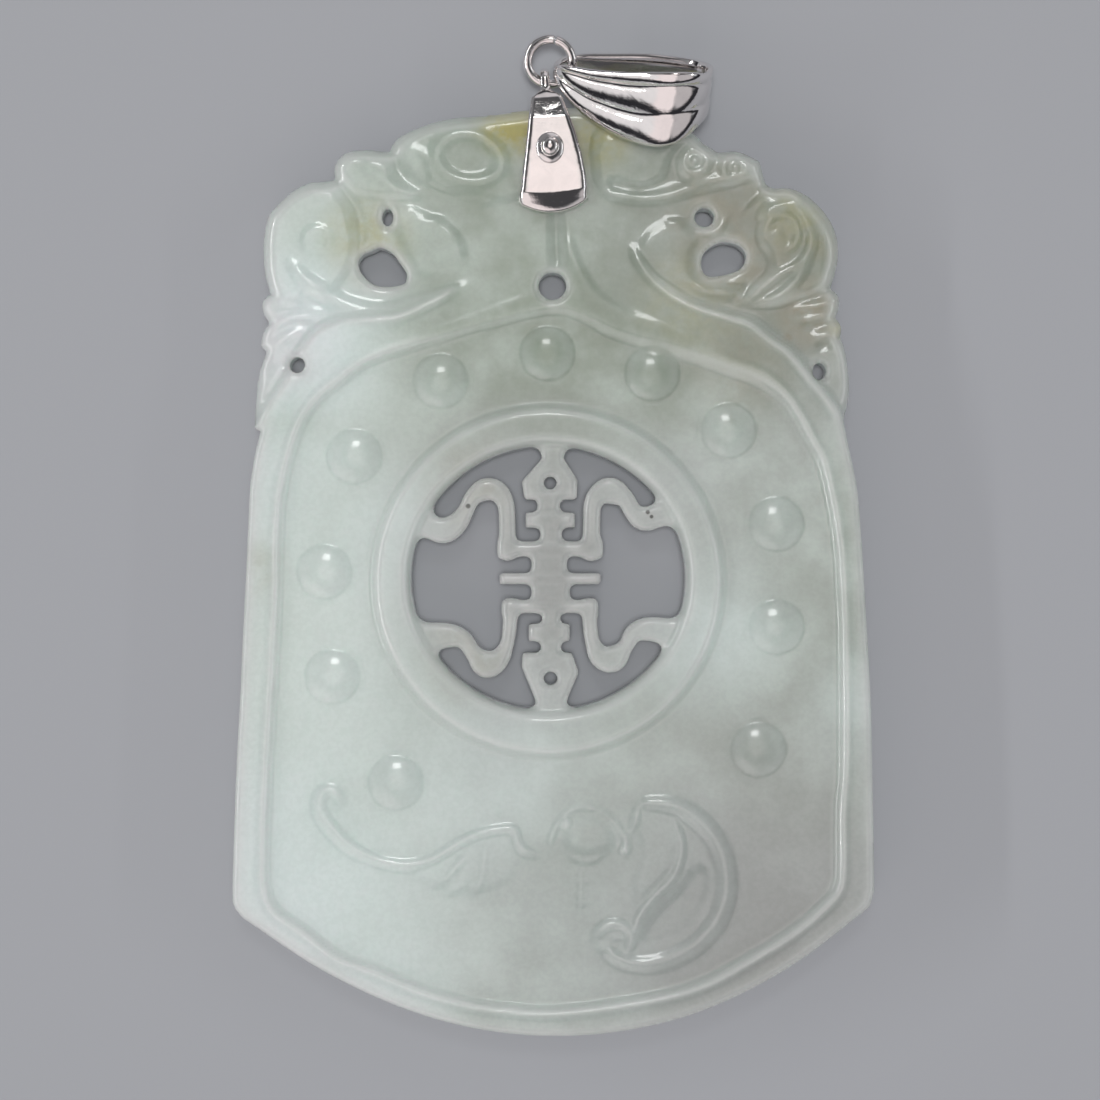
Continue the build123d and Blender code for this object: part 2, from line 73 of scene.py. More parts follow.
# The tablet's edge: smooth runs that meet at its notches, from the top round to the left
OUTLINE = [
    [
        (0, 62.13), (-1.63, 62), (-3.77, 61.67), (-5.43, 61.53), (-6.83, 61.4), (-8.5, 61),
        (-9.9, 60.4), (-10.43, 60.07), (-10.83, 59.6), (-10.97, 59.2),
    ],
    [
        (-10.97, 59.2), (-11.57, 59.2), (-12.5, 59.3), (-13.43, 59.23), (-13.97, 59.07),
        (-14.37, 58.73), (-14.63, 58.33), (-14.7, 57.8), (-14.63, 57.27),
    ],
    [
        (-14.63, 57.27), (-15.57, 57.17), (-16.23, 57.13), (-16.9, 56.87), (-17.57, 56.47),
        (-18.23, 55.87), (-19.03, 55), (-19.3, 54.13), (-19.43, 53.13), (-19.43, 52.13),
        (-19.37, 51.13), (-19.17, 50.27), (-18.97, 49.6),
    ],
    [
        (-18.97, 49.6), (-19.43, 49.27), (-19.53, 48.93), (-19.5, 48.47), (-19.37, 48.13),
        (-19.03, 47.67),
    ],
    [
        (-19.03, 47.67), (-19.3, 47.33), (-19.53, 46.8), (-19.6, 46.07), (-19.37, 45.9),
        (-19.23, 45.73),
    ],
    [
        (-19.23, 45.73), (-19.37, 45.33), (-19.57, 44.87), (-19.7, 44.33), (-19.83, 43.67),
        (-19.9, 42.8), (-19.97, 41.8), (-20, 41.13), (-19.97, 40.6), (-19.57, 40.4),
    ],
    [
        (-19.57, 40.4), (-19.9, 39), (-20.17, 37.47), (-20.3, 36), (-20.43, 33.13),
        (-20.59, 29.67), (-20.77, 26.2), (-20.9, 23.13), (-21.17, 18), (-21.37, 12.27),
        (-21.43, 9.33), (-21.3, 8.6), (-20.77, 7.9),
    ],
    [
        (-20.77, 7.9), (-15.57, 4.47), (-10.23, 1.93), (-5.03, 0.47), (0.23, 0), (5.43, 0.47),
        (10.57, 1.93), (15.97, 4.73), (21.1, 8.6),
    ],
    [
        (21.1, 8.6), (21.37, 9.47), (21.43, 10.8), (21.3, 18), (21.17, 23.13), (20.83, 29.13),
        (20.63, 32.47), (20.3, 36.47), (19.77, 39.13), (19.37, 41.27),
    ],
    [
        (19.37, 41.27), (19.57, 41.67), (19.8, 42.8), (19.8, 44.07), (19.57, 45.8), (19.23, 46.73),
    ],
    [
        (19.23, 46.73), (19.3, 47.4), (18.9, 48.07),
    ],
    [
        (18.9, 48.07), (19.1, 48.53), (19.17, 49.33), (18.97, 49.67), (18.57, 50),
    ],
    [
        (18.57, 50), (18.9, 51.07), (19.1, 52.2), (18.97, 53.53), (18.3, 54.93), (17.03, 56.2),
        (15.77, 56.73), (14.7, 56.73), (14.23, 57),
    ],
    [
        (14.23, 57), (13.97, 57.93), (13.83, 58.47), (13.3, 58.8), (12.3, 59.2), (11.03, 59.13),
    ],
    [
        (11.03, 59.13), (10.57, 59.4), (10.03, 59.73),
    ],
    [
        (10.03, 59.73), (9.1, 60.6), (7.43, 61.4), (5.1, 61.93), (2.43, 62.13), (0, 62.13),
    ],
]

# The recessed field's edge
FIELD = [
    (-0.03, 48.53), (-3.57, 47.8), (-6.1, 47.07), (-9.77, 46), (-12.57, 45), (-14.23, 43.8),
    (-15.7, 42.6), (-16.7, 41.27), (-17.43, 39.47), (-18.03, 37.13), (-18.3, 35.4),
    (-18.43, 32.53), (-18.47, 29.67), (-18.63, 26.2), (-18.77, 23.8), (-19.17, 16.6),
    (-19.3, 11.53), (-19.2, 9.67), (-18.5, 8.33), (-16.43, 6.87), (-14.43, 5.33), (-12.1, 4.47),
    (-9.23, 3.27), (-6.37, 2.4), (-3.43, 1.9), (0.43, 1.73), (6.3, 2.53), (9.97, 3.53),
    (13.57, 5.47), (16.43, 7.33), (18.5, 9.2), (19.03, 10.07), (19.17, 11.4), (19.17, 15.13),
    (19.37, 18), (19.37, 23.8), (19.3, 27.8), (18.97, 33.13), (18.1, 37.8), (17.23, 39.67),
    (16.23, 41.53), (15.1, 43.13), (13.77, 44.2), (12.3, 44.73), (10.43, 45.4), (8.43, 46.07),
    (6.1, 46.67), (4.1, 47.33), (2.1, 48.13),
]

# The crest's lower edge, from left to right
CREST_LINE = [
    (-19.97, 40.4), (-19.03, 42.13), (-17.9, 43.8), (-16.9, 45.67), (-15.7, 47.13), (-13.9, 47.87),
    (-11.77, 48), (-10.23, 48.2), (-8.23, 49.07), (-6.1, 50.13), (-4.23, 51.13), (-2.23, 52.13),
    (0, 52.73), (1.43, 52.93), (3.1, 53.13), (5.23, 52.8), (5.77, 51.67), (7.1, 50.13),
    (9.1, 48.93), (11.77, 48.07), (13.1, 47.67), (14.43, 46.6), (15.77, 45.67), (17.23, 43.93),
    (18.43, 42.47), (19.37, 41.27),
]

# The two larger openings of the crest
CREST_HOLES = [
    [
        (-13.1, 51.67), (-12.77, 52.27), (-12.23, 52.47), (-11.57, 52.73), (-10.77, 52.33),
        (-10.37, 51.8), (-9.83, 51), (-9.83, 50.6), (-9.97, 50.27), (-10.9, 50.1), (-11.97, 50.2),
        (-12.77, 50.87),
    ],
    [
        (9.9, 51.93), (10.3, 52.6), (11.3, 53.1), (12.43, 52.87), (12.9, 52.2), (12.57, 51.33),
        (11.43, 50.87), (10.3, 50.8), (9.97, 51.2),
    ],
]

# Raised bodies of the crest: height, width of the rounded edge, and outline
PADS = [
    (0.34, 0.55, [
        (-14.5, 56.93), (-15.43, 57), (-16.9, 56.73), (-18.23, 55.8), (-19.03, 54.8),
        (-19.37, 53.13), (-19.3, 51.13), (-18.9, 49.67), (-17.9, 48.93), (-16.57, 49.13),
        (-14.57, 49.8), (-13.43, 51.27), (-13.03, 52.8), (-13.17, 54.13), (-13.57, 55.47),
        (-14.03, 56.33),
    ]),
    (0.34, 0.4, [
        (-14.43, 58.47), (-13.83, 59.13), (-12.5, 59.23), (-11.1, 59.07), (-10.43, 58.47),
        (-10.77, 57.8), (-10.1, 57), (-8.57, 56.2), (-10.1, 55.8), (-11.9, 55.93), (-13.17, 56.2),
        (-13.97, 57), (-14.5, 57.67),
    ]),
    (0.34, 0.5, [
        (-10.7, 59.4), (-9.77, 60.33), (-7.57, 61.2), (-4.9, 61.47), (-1.9, 61.8), (-0.57, 61.67),
        (-0.57, 56.47), (-1.9, 55.93), (-3.57, 55.6), (-6.1, 55.93), (-8.1, 56.47), (-9.43, 57.13),
        (-10.37, 58.27),
    ]),
    (0.2, 0.6, [
        (-10.77, 55.33), (-8.77, 55.27), (-7.03, 54.6), (-5.97, 53.4), (-5.63, 52.07),
        (-6.37, 51.07), (-7.83, 50.47), (-9.3, 50.8), (-9.97, 51.8), (-10.5, 53.13),
        (-10.83, 54.33),
    ]),
    (0.34, 0.5, [
        (2.57, 58.6), (2.83, 60.47), (5.77, 61.67), (9.1, 60.47), (9.97, 59.6), (8.43, 59),
        (7.63, 57.8), (6.77, 57), (5.5, 56.73), (4.3, 57.13), (3.5, 56.47), (2.7, 57.13),
    ]),
    (0.30, 0.4, [
        (8.57, 59.13), (9.77, 59.67), (10.77, 59.13), (12.3, 59.13), (13.37, 58.73),
        (13.83, 58.07), (14.03, 57.13), (12.77, 57), (11.1, 56.87), (9.77, 56.73), (8.7, 57),
        (8.17, 57.93),
    ]),
    (0.34, 0.5, [
        (14.57, 56.6), (15.77, 56.67), (16.97, 56.13), (18.17, 54.87), (18.83, 53.4),
        (18.97, 52.13), (18.7, 51), (18.3, 49.93), (16.43, 49.13), (14.77, 48.6), (12.77, 49.13),
        (13.23, 50.13), (14.3, 51.47), (13.5, 53.13), (13.77, 54.6), (13.1, 54.87), (14.03, 56.07),
    ]),
    (0.16, 0.7, [
        (5.5, 52.73), (6.3, 54.13), (7.9, 54.8), (9.37, 54.33), (10.57, 53.53), (9.77, 52.73),
        (9.63, 51.27), (10.57, 50.47), (12.57, 50.47), (12.97, 49.67), (12.1, 49), (9.77, 49.4),
        (7.63, 50.47), (6.3, 51.53),
    ]),
]

# Fine ridges of the crest: height, and the line with its half width
RIDGES = [
    (0.32, [
        (-17.57, 51.67, 0.27), (-16.7, 50.67, 0.4), (-15.43, 49.67, 0.53), (-13.77, 48.73, 0.6),
        (-11.77, 48.27, 0.6), (-9.9, 48.6, 0.53), (-8.23, 49.13, 0.4), (-6.43, 49.93, 0.2),
    ]),
    (0.2, [
        (-12.83, 58.07, 0.2), (-12.1, 58.27, 0.27), (-11.3, 57.93, 0.27), (-10.57, 57.4, 0.27),
        (-9.57, 56.73, 0.27), (-8.1, 56.27, 0.27), (-6.1, 55.93, 0.27), (-3.57, 55.53, 0.2),
    ]),
    (0.14, [
        (-12.83, 58, 0.2), (-12.37, 57.6, 0.2), (-11.23, 57.07, 0.2), (-10.1, 56.4, 0.2),
        (-8.57, 55.87, 0.2), (-6.57, 55.53, 0.2), (-4.23, 55.27, 0.13),
    ]),
    (0.22, [
        (-7.9, 58.6, 0.4), (-7.6, 59.5, 0.45), (-6.6, 60.2, 0.45), (-5.3, 60.2, 0.45),
        (-4.2, 59.6, 0.45), (-3.5, 58.7, 0.45), (-3.7, 57.7, 0.45), (-4.7, 57.1, 0.45),
        (-6.1, 57.1, 0.45), (-7.3, 57.7, 0.45), (-7.9, 58.6, 0.4),
    ]),
    (0.06, [
        (-6.6, 58.1, 0.25), (-5.9, 58.6, 0.35), (-5.1, 59.1, 0.25),
    ]),
    (0.16, [
        (-10.1, 59, 0.17), (-9.43, 59.2, 0.2), (-8.63, 58.87, 0.23), (-8.23, 58.13, 0.23),
        (-7.97, 57.27, 0.23), (-7.17, 56.67, 0.2), (-5.9, 56.2, 0.13),
    ]),
    (0.13, [
        (-10.23, 58.07, 0.13), (-9.57, 57.4, 0.2), (-8.63, 56.87, 0.2), (-7.57, 56.4, 0.13),
    ]),
    (0.2, [
        (-15.6, 52.2, 0.15), (-16.45, 52.65, 0.2), (-16.5, 53.5, 0.22), (-15.74, 53.95, 0.22),
        (-14.98, 53.4, 0.22), (-15.2, 52.6, 0.2), (-15.95, 52.7, 0.18), (-16.05, 53.25, 0.16),
        (-15.65, 53.45, 0.14), (-15.5, 53.1, 0.12),
    ]),
    (0.15, [
        (-16.57, 56, 0.2), (-15.9, 56.4, 0.27), (-15.03, 56.33, 0.27), (-14.7, 55.93, 0.2),
        (-15.43, 55.6, 0.2), (-16.37, 55.67, 0.2),
    ]),
    (0.15, [
        (-10.37, 55.33, 0.13), (-9.57, 55.27, 0.27), (-8.77, 55, 0.27),
    ]),
    (0.12, [
        (-9.03, 54.4, 0.13), (-8.23, 54.4, 0.2), (-7.37, 54.67, 0.13),
    ]),
    (0.13, [
        (-13.9, 56.13, 0.13), (-13.37, 55.13, 0.2), (-12.9, 54.07, 0.2), (-12.77, 53.13, 0.13),
    ]),
    (0.2, [
        (-19.37, 48.87, 0.2), (-18.37, 49.13, 0.33), (-16.9, 48.93, 0.33), (-15.23, 48.33, 0.2),
    ]),
    (0.2, [
        (-19.43, 46.67, 0.2), (-18.63, 47.4, 0.33), (-17.43, 47.93, 0.33), (-15.7, 47.8, 0.2),
    ]),
    (0.22, [
        (-19.77, 43.8, 0.2), (-19.3, 45.27, 0.33), (-18.5, 46.33, 0.4), (-17.17, 47.13, 0.27),
    ]),
    (0.2, [
        (-19.77, 41.47, 0.2), (-19.43, 42.8, 0.33), (-18.77, 43.93, 0.33), (-17.97, 44.87, 0.2),
    ]),
    (0.3, [
        (3.1, 56.47, 0.2), (3.9, 56.27, 0.33), (4.97, 56.07, 0.4), (6.1, 55.93, 0.4),
        (7.63, 56.13, 0.4), (9.1, 56.6, 0.4), (10.57, 56.93, 0.4), (11.9, 57.2, 0.33),
        (12.97, 57.6, 0.2),
    ]),
    (0.2, [
        (4.03, 57.73, 0.13), (4.57, 57.2, 0.2), (5.77, 57, 0.23), (6.77, 57.27, 0.2),
        (7.37, 57.73, 0.2), (7.7, 58.27, 0.13),
    ]),
    (0.12, [
        (4.23, 57.27, 0.13), (4.83, 56.67, 0.17), (5.97, 56.4, 0.17), (7.43, 56.67, 0.17),
        (9.1, 57.13, 0.13),
    ]),
    (0.2, [
        (10.33, 58.5, 0.24), (10.16, 59.02, 0.24), (9.72, 59.34, 0.24), (9.18, 59.34, 0.24),
        (8.74, 59.02, 0.24), (8.57, 58.5, 0.24), (8.74, 57.98, 0.24), (9.18, 57.66, 0.24),
        (9.72, 57.66, 0.24), (10.16, 57.98, 0.24), (10.33, 58.5, 0.24),
    ]),
    (0.14, [
        (7.77, 57.4, 0.13), (7.97, 58.07, 0.17), (8.43, 58.8, 0.17), (9.03, 59.33, 0.13),
    ]),
    (0.2, [
        (12.95, 58.05, 0.24), (12.8, 58.52, 0.24), (12.4, 58.81, 0.24), (11.9, 58.81, 0.24),
        (11.5, 58.52, 0.24), (11.35, 58.05, 0.24), (11.5, 57.58, 0.24), (11.9, 57.29, 0.24),
        (12.4, 57.29, 0.24), (12.8, 57.58, 0.24), (12.95, 58.05, 0.24),
    ]),
    (0.13, [
        (13.23, 58.67, 0.13), (13.57, 58.13, 0.17), (13.7, 57.47, 0.13),
    ]),
    (0.25, [
        (12.83, 54.87, 0.17), (13.43, 55.53, 0.2), (14.1, 56.13, 0.2), (14.7, 56.6, 0.2),
        (15.57, 56.53, 0.2), (16.17, 56.07, 0.2), (16.23, 55.53, 0.2), (15.43, 55.53, 0.2),
        (14.57, 55.27, 0.2), (13.97, 54.8, 0.2), (13.1, 54.73, 0.2),
    ]),
    (0.14, [
        (13.3, 55.13, 0.13), (14.17, 55.87, 0.17), (14.97, 56.4, 0.13),
    ]),
    (0.22, [
        (14.03, 52.93, 0.13), (13.97, 53.8, 0.2), (14.43, 54.6, 0.23), (15.37, 54.87, 0.23),
        (16.17, 54.4, 0.23), (16.37, 53.53, 0.23), (15.97, 52.73, 0.23), (15.1, 52.33, 0.2),
    ]),
    (0.3, [
        (14.83, 53.13, 0.47), (14.87, 53.13, 0.53), (14.9, 53.13, 0.47),
    ]),
    (0.18, [
        (15.23, 54.07, 0.13), (15.63, 54.2, 0.2), (15.9, 53.8, 0.2), (15.63, 53.33, 0.13),
    ]),
    (0.26, [
        (16.1, 55.6, 0.17), (16.7, 54.87, 0.2), (17.1, 53.93, 0.23), (17.23, 53.13, 0.27),
        (16.97, 52.2, 0.27), (16.23, 51.4, 0.27), (15.1, 50.8, 0.27), (14.1, 50.2, 0.27),
        (13.23, 49.47, 0.27), (12.57, 49.07, 0.2), (11.83, 48.93, 0.13),
    ]),
    (0.24, [
        (17.17, 52.47, 0.2), (16.83, 51.53, 0.27), (16.23, 50.53, 0.27), (15.37, 49.67, 0.27),
        (14.3, 49.07, 0.27), (13.23, 48.87, 0.2), (12.17, 48.93, 0.13),
    ]),
    (0.22, [
        (9.1, 50.2, 0.33), (10.1, 49.73, 0.53), (11.23, 49.6, 0.53), (12.3, 49.73, 0.4),
    ]),
    (0.26, [
        (5.23, 52.73, 0.17), (5.77, 51.67, 0.27), (6.97, 50.27, 0.27), (9.1, 48.93, 0.27),
        (10.77, 48.4, 0.27), (12.1, 47.93, 0.27), (13.37, 47.53, 0.27), (14.57, 46.6, 0.27),
        (15.9, 45.53, 0.27), (17.23, 43.93, 0.27), (18.37, 42.47, 0.27), (19.03, 41.13, 0.2),
    ]),
    (0.2, [
        (3.37, 59.47, 0.13), (3.9, 59.73, 0.2), (4.43, 59.93, 0.13),
    ]),
    (0.16, [
        (2.43, 58.47, 0.13), (2.57, 58.87, 0.17), (2.97, 58.93, 0.17), (3.1, 58.53, 0.13),
    ]),
    (0.16, [
        (7.37, 54.67, 0.13), (8.03, 54.33, 0.2), (8.97, 54.47, 0.13),
    ]),
    (0.2, [
        (9.43, 54.2, 0.13), (10.1, 53.73, 0.2), (10.83, 53.73, 0.2), (11.3, 54.2, 0.2),
        (11.57, 54.8, 0.13),
    ]),
    (0.2, [
        (16.43, 48.67, 0.2), (17.63, 48.8, 0.27), (18.97, 49.13, 0.2),
    ]),
    (0.2, [
        (16.3, 47.8, 0.2), (17.63, 47.93, 0.27), (18.97, 48.33, 0.2),
    ]),
    (0.2, [
        (17.23, 46.47, 0.2), (18.17, 46.73, 0.27), (19.1, 47.13, 0.2),
    ]),
    (0.24, [
        (17.9, 47.13, 0.17), (18.63, 46.6, 0.27), (19.23, 45.67, 0.27), (19.57, 44.33, 0.27),
        (19.57, 42.6, 0.2),
    ]),
    (0.12, [
        (0.83, 53.67, 0.17), (1.03, 52.73, 0.3), (1.43, 51.67, 0.35), (2.03, 50.4, 0.4),
        (3.1, 49.07, 0.5), (5.1, 47.93, 0.5), (7.23, 47.33, 0.4), (9.43, 46.4, 0.3),
    ]),
    (0.07, [
        (-8.23, 47.07, 0.13), (-5.9, 47.8, 0.2), (-3.57, 48.67, 0.17), (-1.57, 49.4, 0.13),
    ]),
    (0.12, [
        (-7.57, 46.2, 0.13), (-5.57, 46.6, 0.17), (-3.23, 47.87, 0.13),
    ]),
]

# Grooves: depth, and the line with its half width
GROOVES = [
    (0.32, [
        (0.17, 55.53, 0.33), (0.17, 53.47, 0.37), (0.23, 51.67, 0.33), (0.1, 50.87, 0.27),
    ]),
    (0.18, [
        (-14.63, 57.27, 0.13), (-13.9, 56.33, 0.27), (-13.3, 55.33, 0.27), (-12.9, 54.33, 0.27),
        (-12.83, 53.13, 0.2), (-13.37, 51.53, 0.13),
    ]),
    (0.14, [
        (16.97, 55.8, 0.13), (17.77, 54.8, 0.2), (18.37, 53.47, 0.2), (18.37, 52.13, 0.2),
        (17.97, 50.8, 0.13),
    ]),
    (0.1, [
        (16.43, 56.33, 0.13), (17.9, 55.13, 0.17), (18.77, 53.27, 0.17), (18.63, 51.67, 0.13),
    ]),
    (0.18, [
        (-19.03, 47.67, 0.2), (-17.83, 48.4, 0.27), (-16.37, 48.73, 0.2), (-14.57, 48.93, 0.13),
    ]),
    (0.18, [
        (-19.17, 45.73, 0.2), (-18.5, 46.87, 0.27), (-17.17, 47.67, 0.27), (-15.57, 47.4, 0.13),
    ]),
    (0.18, [
        (18.9, 48, 0.2), (17.77, 47.53, 0.27), (16.43, 47.27, 0.13),
    ]),
    (0.18, [
        (19.1, 46.73, 0.2), (18.17, 46.2, 0.27), (17.23, 45.67, 0.13),
    ]),
    (0.16, [
        (18.57, 49.93, 0.2), (17.63, 49.47, 0.27), (16.43, 49.13, 0.2), (15.1, 48.6, 0.13),
    ]),
    (0.14, [
        (13.43, 49.33, 0.2), (14.43, 49.73, 0.33), (15.5, 50.6, 0.33), (16.23, 51.33, 0.13),
    ]),
]

# The bat on the field: height, and the line with its half width
BAT_LINES = [
    (0.15, [
        (0.75, 10.75, 0.1), (1.35, 10.35, 0.12), (1.86, 10.25, 0.12), (2.4, 10.4, 0.12), (2.95, 10.75, 0.1),
    ]),
    (0.15, [
        (0.98, 9.85, 0.1), (1.4, 9.5, 0.12), (1.86, 9.4, 0.12), (2.3, 9.55, 0.12), (2.75, 9.85, 0.1),
    ]),
    (0.15, [
        (1.2, 9.15, 0.1), (1.86, 8.8, 0.12), (2.53, 9.15, 0.1),
    ]),
    (0.28, [
        (-11.83, 11.73, 0.27), (-13.3, 12.4, 0.4), (-14.4, 13.4, 0.5), (-15.3, 14.5, 0.5),
        (-15.7, 15.6, 0.45), (-15.2, 16.4, 0.4), (-14.4, 16.2, 0.35), (-14.2, 15.4, 0.3),
    ]),
    (0.3, [
        (-14.23, 13.27, 0.2), (-13.23, 12.53, 0.3), (-11.9, 11.8, 0.33), (-10.57, 11.47, 0.33),
        (-9.23, 11.47, 0.33), (-8.1, 11.8, 0.3), (-7.17, 12.33, 0.27), (-6.23, 12.93, 0.27),
        (-4.9, 13.53, 0.27), (-3.57, 13.8, 0.27), (-2.7, 13.8, 0.27), (-2.43, 13, 0.27),
        (-2.03, 12.4, 0.27), (-1.03, 12.07, 0.2),
    ]),
    (0.1, [
        (-4.6, 12.4, 0.17), (-4.7, 11.2, 0.2), (-4.9, 10.2, 0.2), (-5.4, 9.4, 0.13),
    ]),
    (0.12, [
        (-8.1, 9.9, 0.13), (-7.2, 10.5, 0.2), (-6.4, 11.4, 0.2), (-5.6, 12.3, 0.13),
    ]),
    (0.08, [
        (-7.4, 9.5, 0.13), (-6.5, 9.7, 0.2), (-5.8, 10.6, 0.2), (-5.4, 11.6, 0.13),
    ]),
    (0.3, [
        (5.57, 15.47, 0.33), (6.77, 15.53, 0.53), (8.3, 15.27, 0.6), (9.63, 14.47, 0.6),
        (10.7, 13.27, 0.6), (11.37, 11.8, 0.6), (11.57, 10.2, 0.6), (11.3, 8.6, 0.6),
        (10.5, 7.13, 0.6), (9.23, 5.93, 0.6), (7.63, 5.13, 0.6), (5.97, 4.8, 0.53),
        (4.43, 5.13, 0.47), (3.3, 5.93, 0.4),
    ]),
    (0.2, [
        (7.9, 14.8, 0.17), (8.5, 13.13, 0.23), (8.5, 11.93, 0.23), (7.9, 10.47, 0.23),
        (6.57, 9.13, 0.23), (5.63, 7.8, 0.23), (5.37, 6.2, 0.2),
    ]),
    (0.3, [
        (2.7, 6.4, 0.27), (3.1, 7.07, 0.33), (3.9, 7.47, 0.33), (4.77, 7.27, 0.33),
        (5.17, 6.47, 0.3), (4.9, 5.53, 0.27),
    ]),
    (0.2, [
        (3.83, 6.13, 0.2), (4.03, 6.6, 0.23), (4.5, 6.6, 0.2), (4.43, 6.07, 0.17),
    ]),
    (0.2, [
        (5.63, 15.8, 0.13), (5.57, 14.93, 0.2), (5.37, 14.07, 0.2), (4.97, 13.4, 0.13),
    ]),
    (0.16, [
        (-0.03, 12.33, 0.13), (-0.17, 13, 0.2), (0.03, 13.67, 0.2), (0.57, 14.6, 0.2),
        (1.43, 15.2, 0.2), (2.57, 15.2, 0.2), (3.63, 14.67, 0.2), (4.5, 13.67, 0.2),
        (4.97, 12.6, 0.2), (4.57, 11.8, 0.13),
    ]),
    (0.14, [
        (0.83, 12.27, 0.13), (1.63, 11.73, 0.17), (2.7, 11.73, 0.17), (3.5, 12.27, 0.13),
    ]),
    (0.13, [
        (1.9, 11.53, 0.13), (1.83, 10.13, 0.17), (1.77, 8.33, 0.13),
    ]),
    (0.1, [
        (1.77, 11.2, 0.1), (1.1, 10.8, 0.13), (0.7, 10.2, 0.1),
    ]),
    (0.1, [
        (1.77, 10.53, 0.1), (1.17, 10.07, 0.13), (0.83, 9.47, 0.1),
    ]),
    (0.1, [
        (2.03, 11.2, 0.1), (2.7, 10.73, 0.13), (3.1, 10.07, 0.1),
    ]),
    (0.1, [
        (1.97, 10.47, 0.1), (2.57, 9.93, 0.13), (2.9, 9.33, 0.1),
    ]),
]

# Broad forms of the bat: height, width of the rounded edge, and outline
BAT_PADS = [
    (0.2, 0.8, [
        (0.43, 13.27), (0.83, 14.33), (1.97, 15), (3.3, 14.73), (4.17, 13.8), (4.3, 12.6),
        (3.37, 11.93), (2.03, 11.67), (0.83, 12.13),
    ]),
    (0.1, 0.7, [
        (-10.5, 11.27), (-8.23, 11.53), (-6.1, 12.6), (-3.57, 13.53), (-2.5, 12.73),
        (-2.23, 11.27), (-3.23, 9.93), (-4.9, 9.27), (-6.57, 9.27), (-8.23, 9.8),
    ]),
    (-0.16, 0.6, [
        (9.1, 11.27), (10.17, 11.53), (10.63, 10.47), (10.3, 9), (9.23, 7.4), (7.63, 6.33),
        (6.1, 5.93), (5.77, 7.13), (6.77, 8.6), (8.17, 9.93),
    ]),
    (0.12, 0.5, [
        (4.97, 15), (7.63, 15), (8.43, 13.27), (8.23, 11.4), (6.77, 9.6), (5.5, 8.8),
        (5.23, 10.47), (5.77, 12.47),
    ]),
]

# Small round knobs: height, across, up, radius
KNOBS = [
    (0.26, 0.83, 14.2, 0.3),
    (0.22, 4.7, 12.47, 0.23),
    (0.16, 9.45, 58.5, 0.3),
    (0.16, 12.15, 58.05, 0.28),
]

# The bosses' middles
BOSSES = [
    (-0.4, 45.6), (-7.53, 43.77), (6.6, 44.27), (-13.3, 38.73), (11.7, 40.47), (-15.3, 31.03),
    (14.9, 34.2), (-14.77, 24), (14.9, 27.33), (-10.53, 16.93), (13.7, 19.13),
]

# The medallion: its middle, and the fret's half sizes
MEDALLION = (-0.35, 30.58)
FRET_HALF = (9.2, 8.87)

# Bars of the fret: left, right, low and high, as shares of the fret's half sizes
FRET_BARS = [
    (-0.076, 0.084, 0.49, 0.62),
    (-0.164, 0.193, 0.383, 0.496),
    (-0.055, 0.098, 0.27, 0.40),
    (-0.353, 0.389, 0.165, 0.278),
    (-0.120, 0.135, 0.03, 0.18),
    (-0.353, 0.382, -0.045, 0.038),
    (-0.120, 0.156, -0.18, -0.03),
    (-0.324, 0.345, -0.263, -0.165),
    (-0.040, 0.084, -0.36, -0.25),
    (-0.142, 0.156, -0.474, -0.346),
    (-0.051, 0.091, -0.58, -0.46),
]

# The fret's two pointed houses, as shares of the fret's half sizes
FRET_HOUSES = [
    [
        (-0.045, 1.08), (0.113, 1.08), (0.113, 0.90), (0.2145, 0.737), (0.207, 0.594),
        (-0.171, 0.594), (-0.193, 0.729), (-0.047, 0.90),
    ],
    [
        (-0.185, -0.564), (0.171, -0.564), (0.222, -0.707), (0.127, -0.94), (0.127, -1.08),
        (-0.084, -1.08), (-0.084, -0.94), (-0.193, -0.67),
    ],
]

# The round eyes of the fret's houses: across and up as shares, and radius
FRET_EYES = [(0.0145, 0.718, 0.43), (0.017, -0.756, 0.46)]

# Arms of the fret from the stem to the medallion's ring, as shares: across, up, width
FRET_ARMS = [
    [
        (-0.298, 0.20, 0.124), (-0.298, 0.40, 0.118), (-0.31, 0.56, 0.124), (-0.37, 0.655, 0.15),
        (-0.46, 0.67, 0.16), (-0.55, 0.61, 0.12), (-0.595, 0.52, 0.112), (-0.66, 0.42, 0.15),
        (-0.76, 0.36, 0.185), (-0.88, 0.40, 0.17), (-1.02, 0.47, 0.2),
    ],
    [
        (0.316, 0.20, 0.131), (0.316, 0.40, 0.124), (0.325, 0.56, 0.131), (0.38, 0.64, 0.16),
        (0.46, 0.66, 0.19), (0.56, 0.60, 0.13), (0.62, 0.50, 0.13), (0.70, 0.45, 0.175),
        (0.82, 0.48, 0.17), (0.97, 0.54, 0.2),
    ],
    [
        (-0.273, -0.22, 0.109), (-0.28, -0.36, 0.103), (-0.30, -0.50, 0.1), (-0.36, -0.61, 0.15),
        (-0.45, -0.65, 0.195), (-0.54, -0.57, 0.12), (-0.61, -0.47, 0.125), (-0.70, -0.435, 0.165),
        (-0.84, -0.44, 0.2), (-1.0, -0.48, 0.24),
    ],
    [
        (0.302, -0.22, 0.109), (0.305, -0.36, 0.105), (0.325, -0.49, 0.11), (0.38, -0.59, 0.16),
        (0.47, -0.61, 0.19), (0.56, -0.52, 0.11), (0.62, -0.42, 0.13), (0.71, -0.385, 0.165),
        (0.85, -0.40, 0.19), (1.0, -0.45, 0.22),
    ],
]

# Drilled holes: across, up, half width, half height
DRILLED = [
    (-0.07, 50.13, 0.93, 0.93),
    (-11.1, 54.73, 0.38, 0.6),
    (-17.13, 44.83, 0.54, 0.54),
    (10.1, 54.73, 0.66, 0.64),
    (17.8, 44.43, 0.46, 0.58),
    (-0.23, 59.24, 0.5, 0.5),
]

